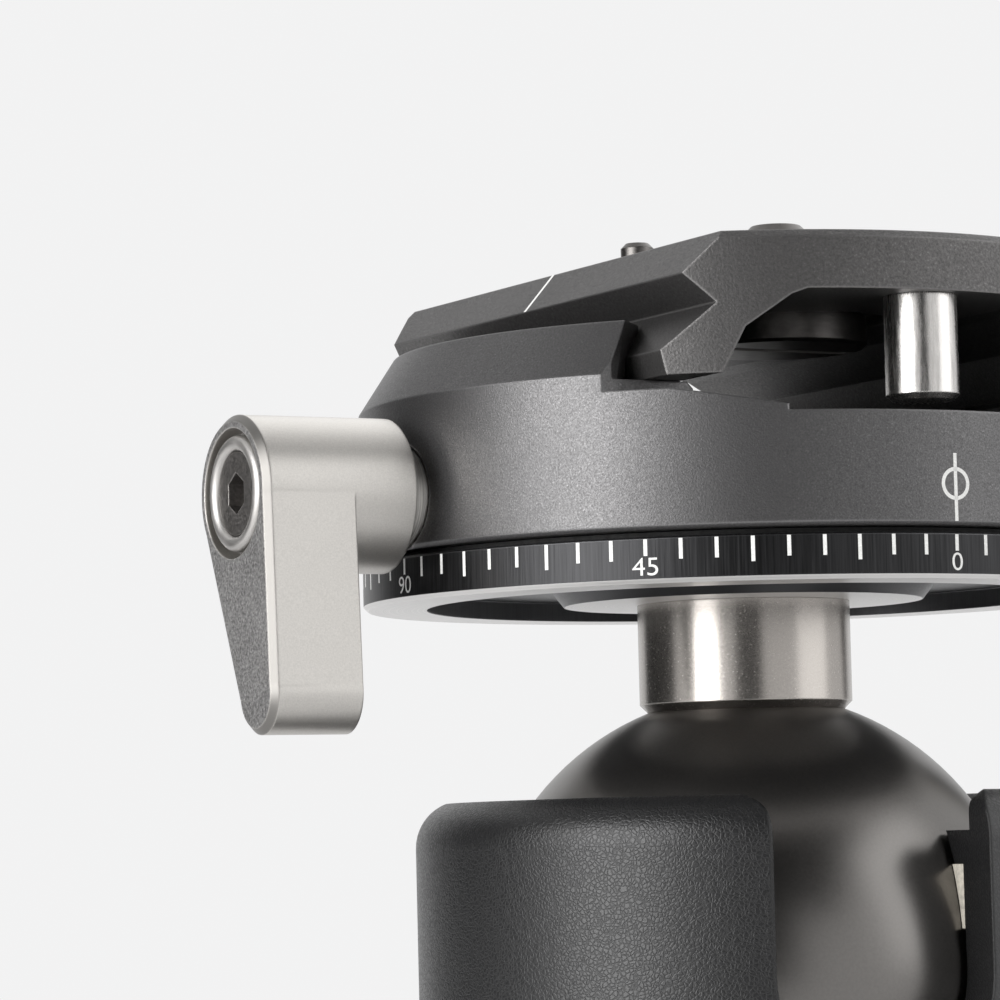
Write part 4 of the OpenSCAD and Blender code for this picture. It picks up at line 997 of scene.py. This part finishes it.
class BALLHEAD_OT_stage(bpy.types.Operator):
    """Pale floor and background, soft light, dark cards for the reflections, and the camera"""

    bl_idname = "ballhead.stage"
    bl_label = "Studio"

    def execute(self, context):
        scene = context.scene
        studio = scene.ballhead_studio
        scene.view_settings.view_transform = "Standard"
        view = Vector(studio.look).normalized()
        right = view.cross(Vector((0, 0, 1))).normalized()
        self.make_world(scene, studio)
        self.make_floor(studio)
        self.make_lights(studio, view, right)
        self.make_cards(view, right)
        self.make_camera(scene, studio, view, right)
        return {"FINISHED"}

    def make_world(self, scene, studio):
        """The background colour to camera, glossy and transmission rays, and a fill to the rest."""
        world = bpy.data.worlds.new("studio")
        scene.world = world
        world.use_nodes = True
        tree = world.node_tree
        tree.nodes.clear()
        path = tree.nodes.new("ShaderNodeLightPath").outputs
        seen = math_node(tree, "ADD", path["Is Camera Ray"], path["Is Glossy Ray"])
        seen = math_node(tree, "ADD", seen, path["Is Transmission Ray"], clamp=True)
        strength = remap(tree, seen, 0.0, 1.0, studio.fill, 1.0)
        values = {"Color": shade(studio.ground, 1.0), "Strength": strength}
        light = add_node(tree, "ShaderNodeBackground", values)
        out = tree.nodes.new("ShaderNodeOutputWorld")
        tree.links.new(light.outputs[0], out.inputs[0])

    def make_floor(self, studio):
        """A round floor of rings by angles, whose edge fades into the background."""
        around = np.linspace(0.0, TURN, FLOOR_SIDES, endpoint=False)
        radii = np.repeat(np.array(FLOOR_RINGS)[:, None], FLOOR_SIDES, 1)
        points = np.stack([radii * np.cos(around), radii * np.sin(around), 0 * radii], axis=-1)
        faces = grid_faces(len(FLOOR_RINGS), FLOOR_SIDES, wrap=True)
        mesh = bpy.data.meshes.new("floor")
        mesh.from_pydata(points.reshape(-1, 3).tolist(), [], faces.tolist())
        mesh.validate()
        floor = new_object("floor", mesh)
        material, tree, shader = new_finish("floor_pale", 0.0, 0.9)
        shader.inputs["Base Color"].default_value = shade(studio.ground, 1.0)
        away = vector_node(tree, "LENGTH", object_place(tree))
        tree.links.new(remap(tree, away, *FLOOR_FADE, 1.0, 0.0), shader.inputs["Alpha"])
        mesh.materials.append(material)

    def face_part(self, obj, view, right, angle, distance, height):
        """Places an object by its angle from the camera, to the right, and aims it at the part."""
        toward = Vector((-view.x, -view.y, 0)).normalized()
        turn = math.radians(angle)
        side = math.cos(turn) * toward + math.sin(turn) * right
        place = STUDIO_MIDDLE + distance * side + Vector((0, 0, height))
        obj.location = place
        obj.rotation_mode = "QUATERNION"
        obj.rotation_quaternion = (STUDIO_MIDDLE - place).to_track_quat("-Z", "Y")

    def make_lights(self, studio, view, right):
        """Three softboxes: the key from the left, a weaker one from the right and one above."""
        for name, angle, height, power, wide, tall in (
                ("softbox_left", -50, 0.2, studio.key, 0.5, 0.7),
                ("softbox_right", 75, 0.3, studio.side, 0.6, 0.7),
                ("softbox_top", 160, 0.75, studio.side, 0.8, 0.8)):
            lamp = bpy.data.lights.new(name, "AREA")
            lamp.shape = "RECTANGLE"
            lamp.size, lamp.size_y = wide, tall
            lamp.energy = power
            self.face_part(new_object(name, lamp), view, right, angle, SOFTBOX_DISTANCE, height)

    def make_cards(self, view, right):
        """Dark cards that only reflections show."""
        material, _, shader = new_finish("card_black", 0.0, 0.9)
        shader.inputs["Base Color"].default_value = (0.02, 0.02, 0.02, 1.0)
        for name, angle, distance, height, wide, tall in (
                ("card_front", 1, 0.85, 0.1, 0.44, 1.2),
                ("card_left", -112, 0.95, 0.1, 1.0, 1.1),
                ("card_over", -10, 0.5, 0.75, 1.7, 1.1)):
            x, y = wide / 2, tall / 2
            mesh = bpy.data.meshes.new(name)
            mesh.from_pydata([(-x, -y, 0), (x, -y, 0), (x, y, 0), (-x, y, 0)], [], [(0, 1, 2, 3)])
            mesh.materials.append(material)
            card = new_object(name, mesh)
            self.face_part(card, view, right, angle, distance, height)
            card.visible_camera = False
            card.visible_shadow = False
            card.visible_diffuse = False

    def make_camera(self, scene, studio, view, right):
        """The camera, turned about its view by the roll."""
        up = right.cross(view)
        c, s = math.cos(studio.roll), math.sin(studio.roll)
        camera = bpy.data.cameras.new("camera")
        camera.lens = studio.lens
        camera.sensor_width = SENSOR_WIDTH
        camera.clip_start, camera.clip_end = CLIP
        holder = new_object("camera", camera)
        turn = Matrix((c * right + s * up, c * up - s * right, -view)).transposed().to_4x4()
        holder.matrix_world = Matrix.Translation(Vector(studio.camera)) @ turn
        scene.camera = holder


class BALLHEAD_PT_panel(bpy.types.Panel):
    """Lists the steps that dress the head"""

    bl_idname = "BALLHEAD_PT_panel"
    bl_label = "Ball Head"
    bl_space_type = "VIEW_3D"
    bl_region_type = "UI"
    bl_category = "Ball Head"

    def draw(self, context):
        for step in STEPS:
            self.layout.operator(step.bl_idname)


STEPS = (BALLHEAD_OT_finishes, BALLHEAD_OT_degree_scale, BALLHEAD_OT_index_mark,
         BALLHEAD_OT_centre_lines, BALLHEAD_OT_camera_thread, BALLHEAD_OT_tripod_thread,
         BALLHEAD_OT_rubber_strips, BALLHEAD_OT_stage)
GROUPS = {"ballhead_scale": ScaleSizes, "ballhead_threads": ThreadSizes,
          "ballhead_rubber": RubberSizes, "ballhead_colours": FinishColours,
          "ballhead_studio": StudioLight}
CLASSES = (*GROUPS.values(), *STEPS, BALLHEAD_PT_panel)


def register():
    """Registers the classes and puts the property groups on the scene."""
    for made in CLASSES:
        bpy.utils.register_class(made)
    for label, made in GROUPS.items():
        setattr(bpy.types.Scene, label, bpy.props.PointerProperty(type=made))


def unregister():
    """Takes off what register puts on."""
    for label in GROUPS:
        delattr(bpy.types.Scene, label)
    for made in reversed(CLASSES):
        bpy.utils.unregister_class(made)


def main():
    """Runs every step in order."""
    register()
    for step in STEPS:
        group, label = step.bl_idname.split(".")
        getattr(getattr(bpy.ops, group), label)()


if __name__ == "__main__":
    main()
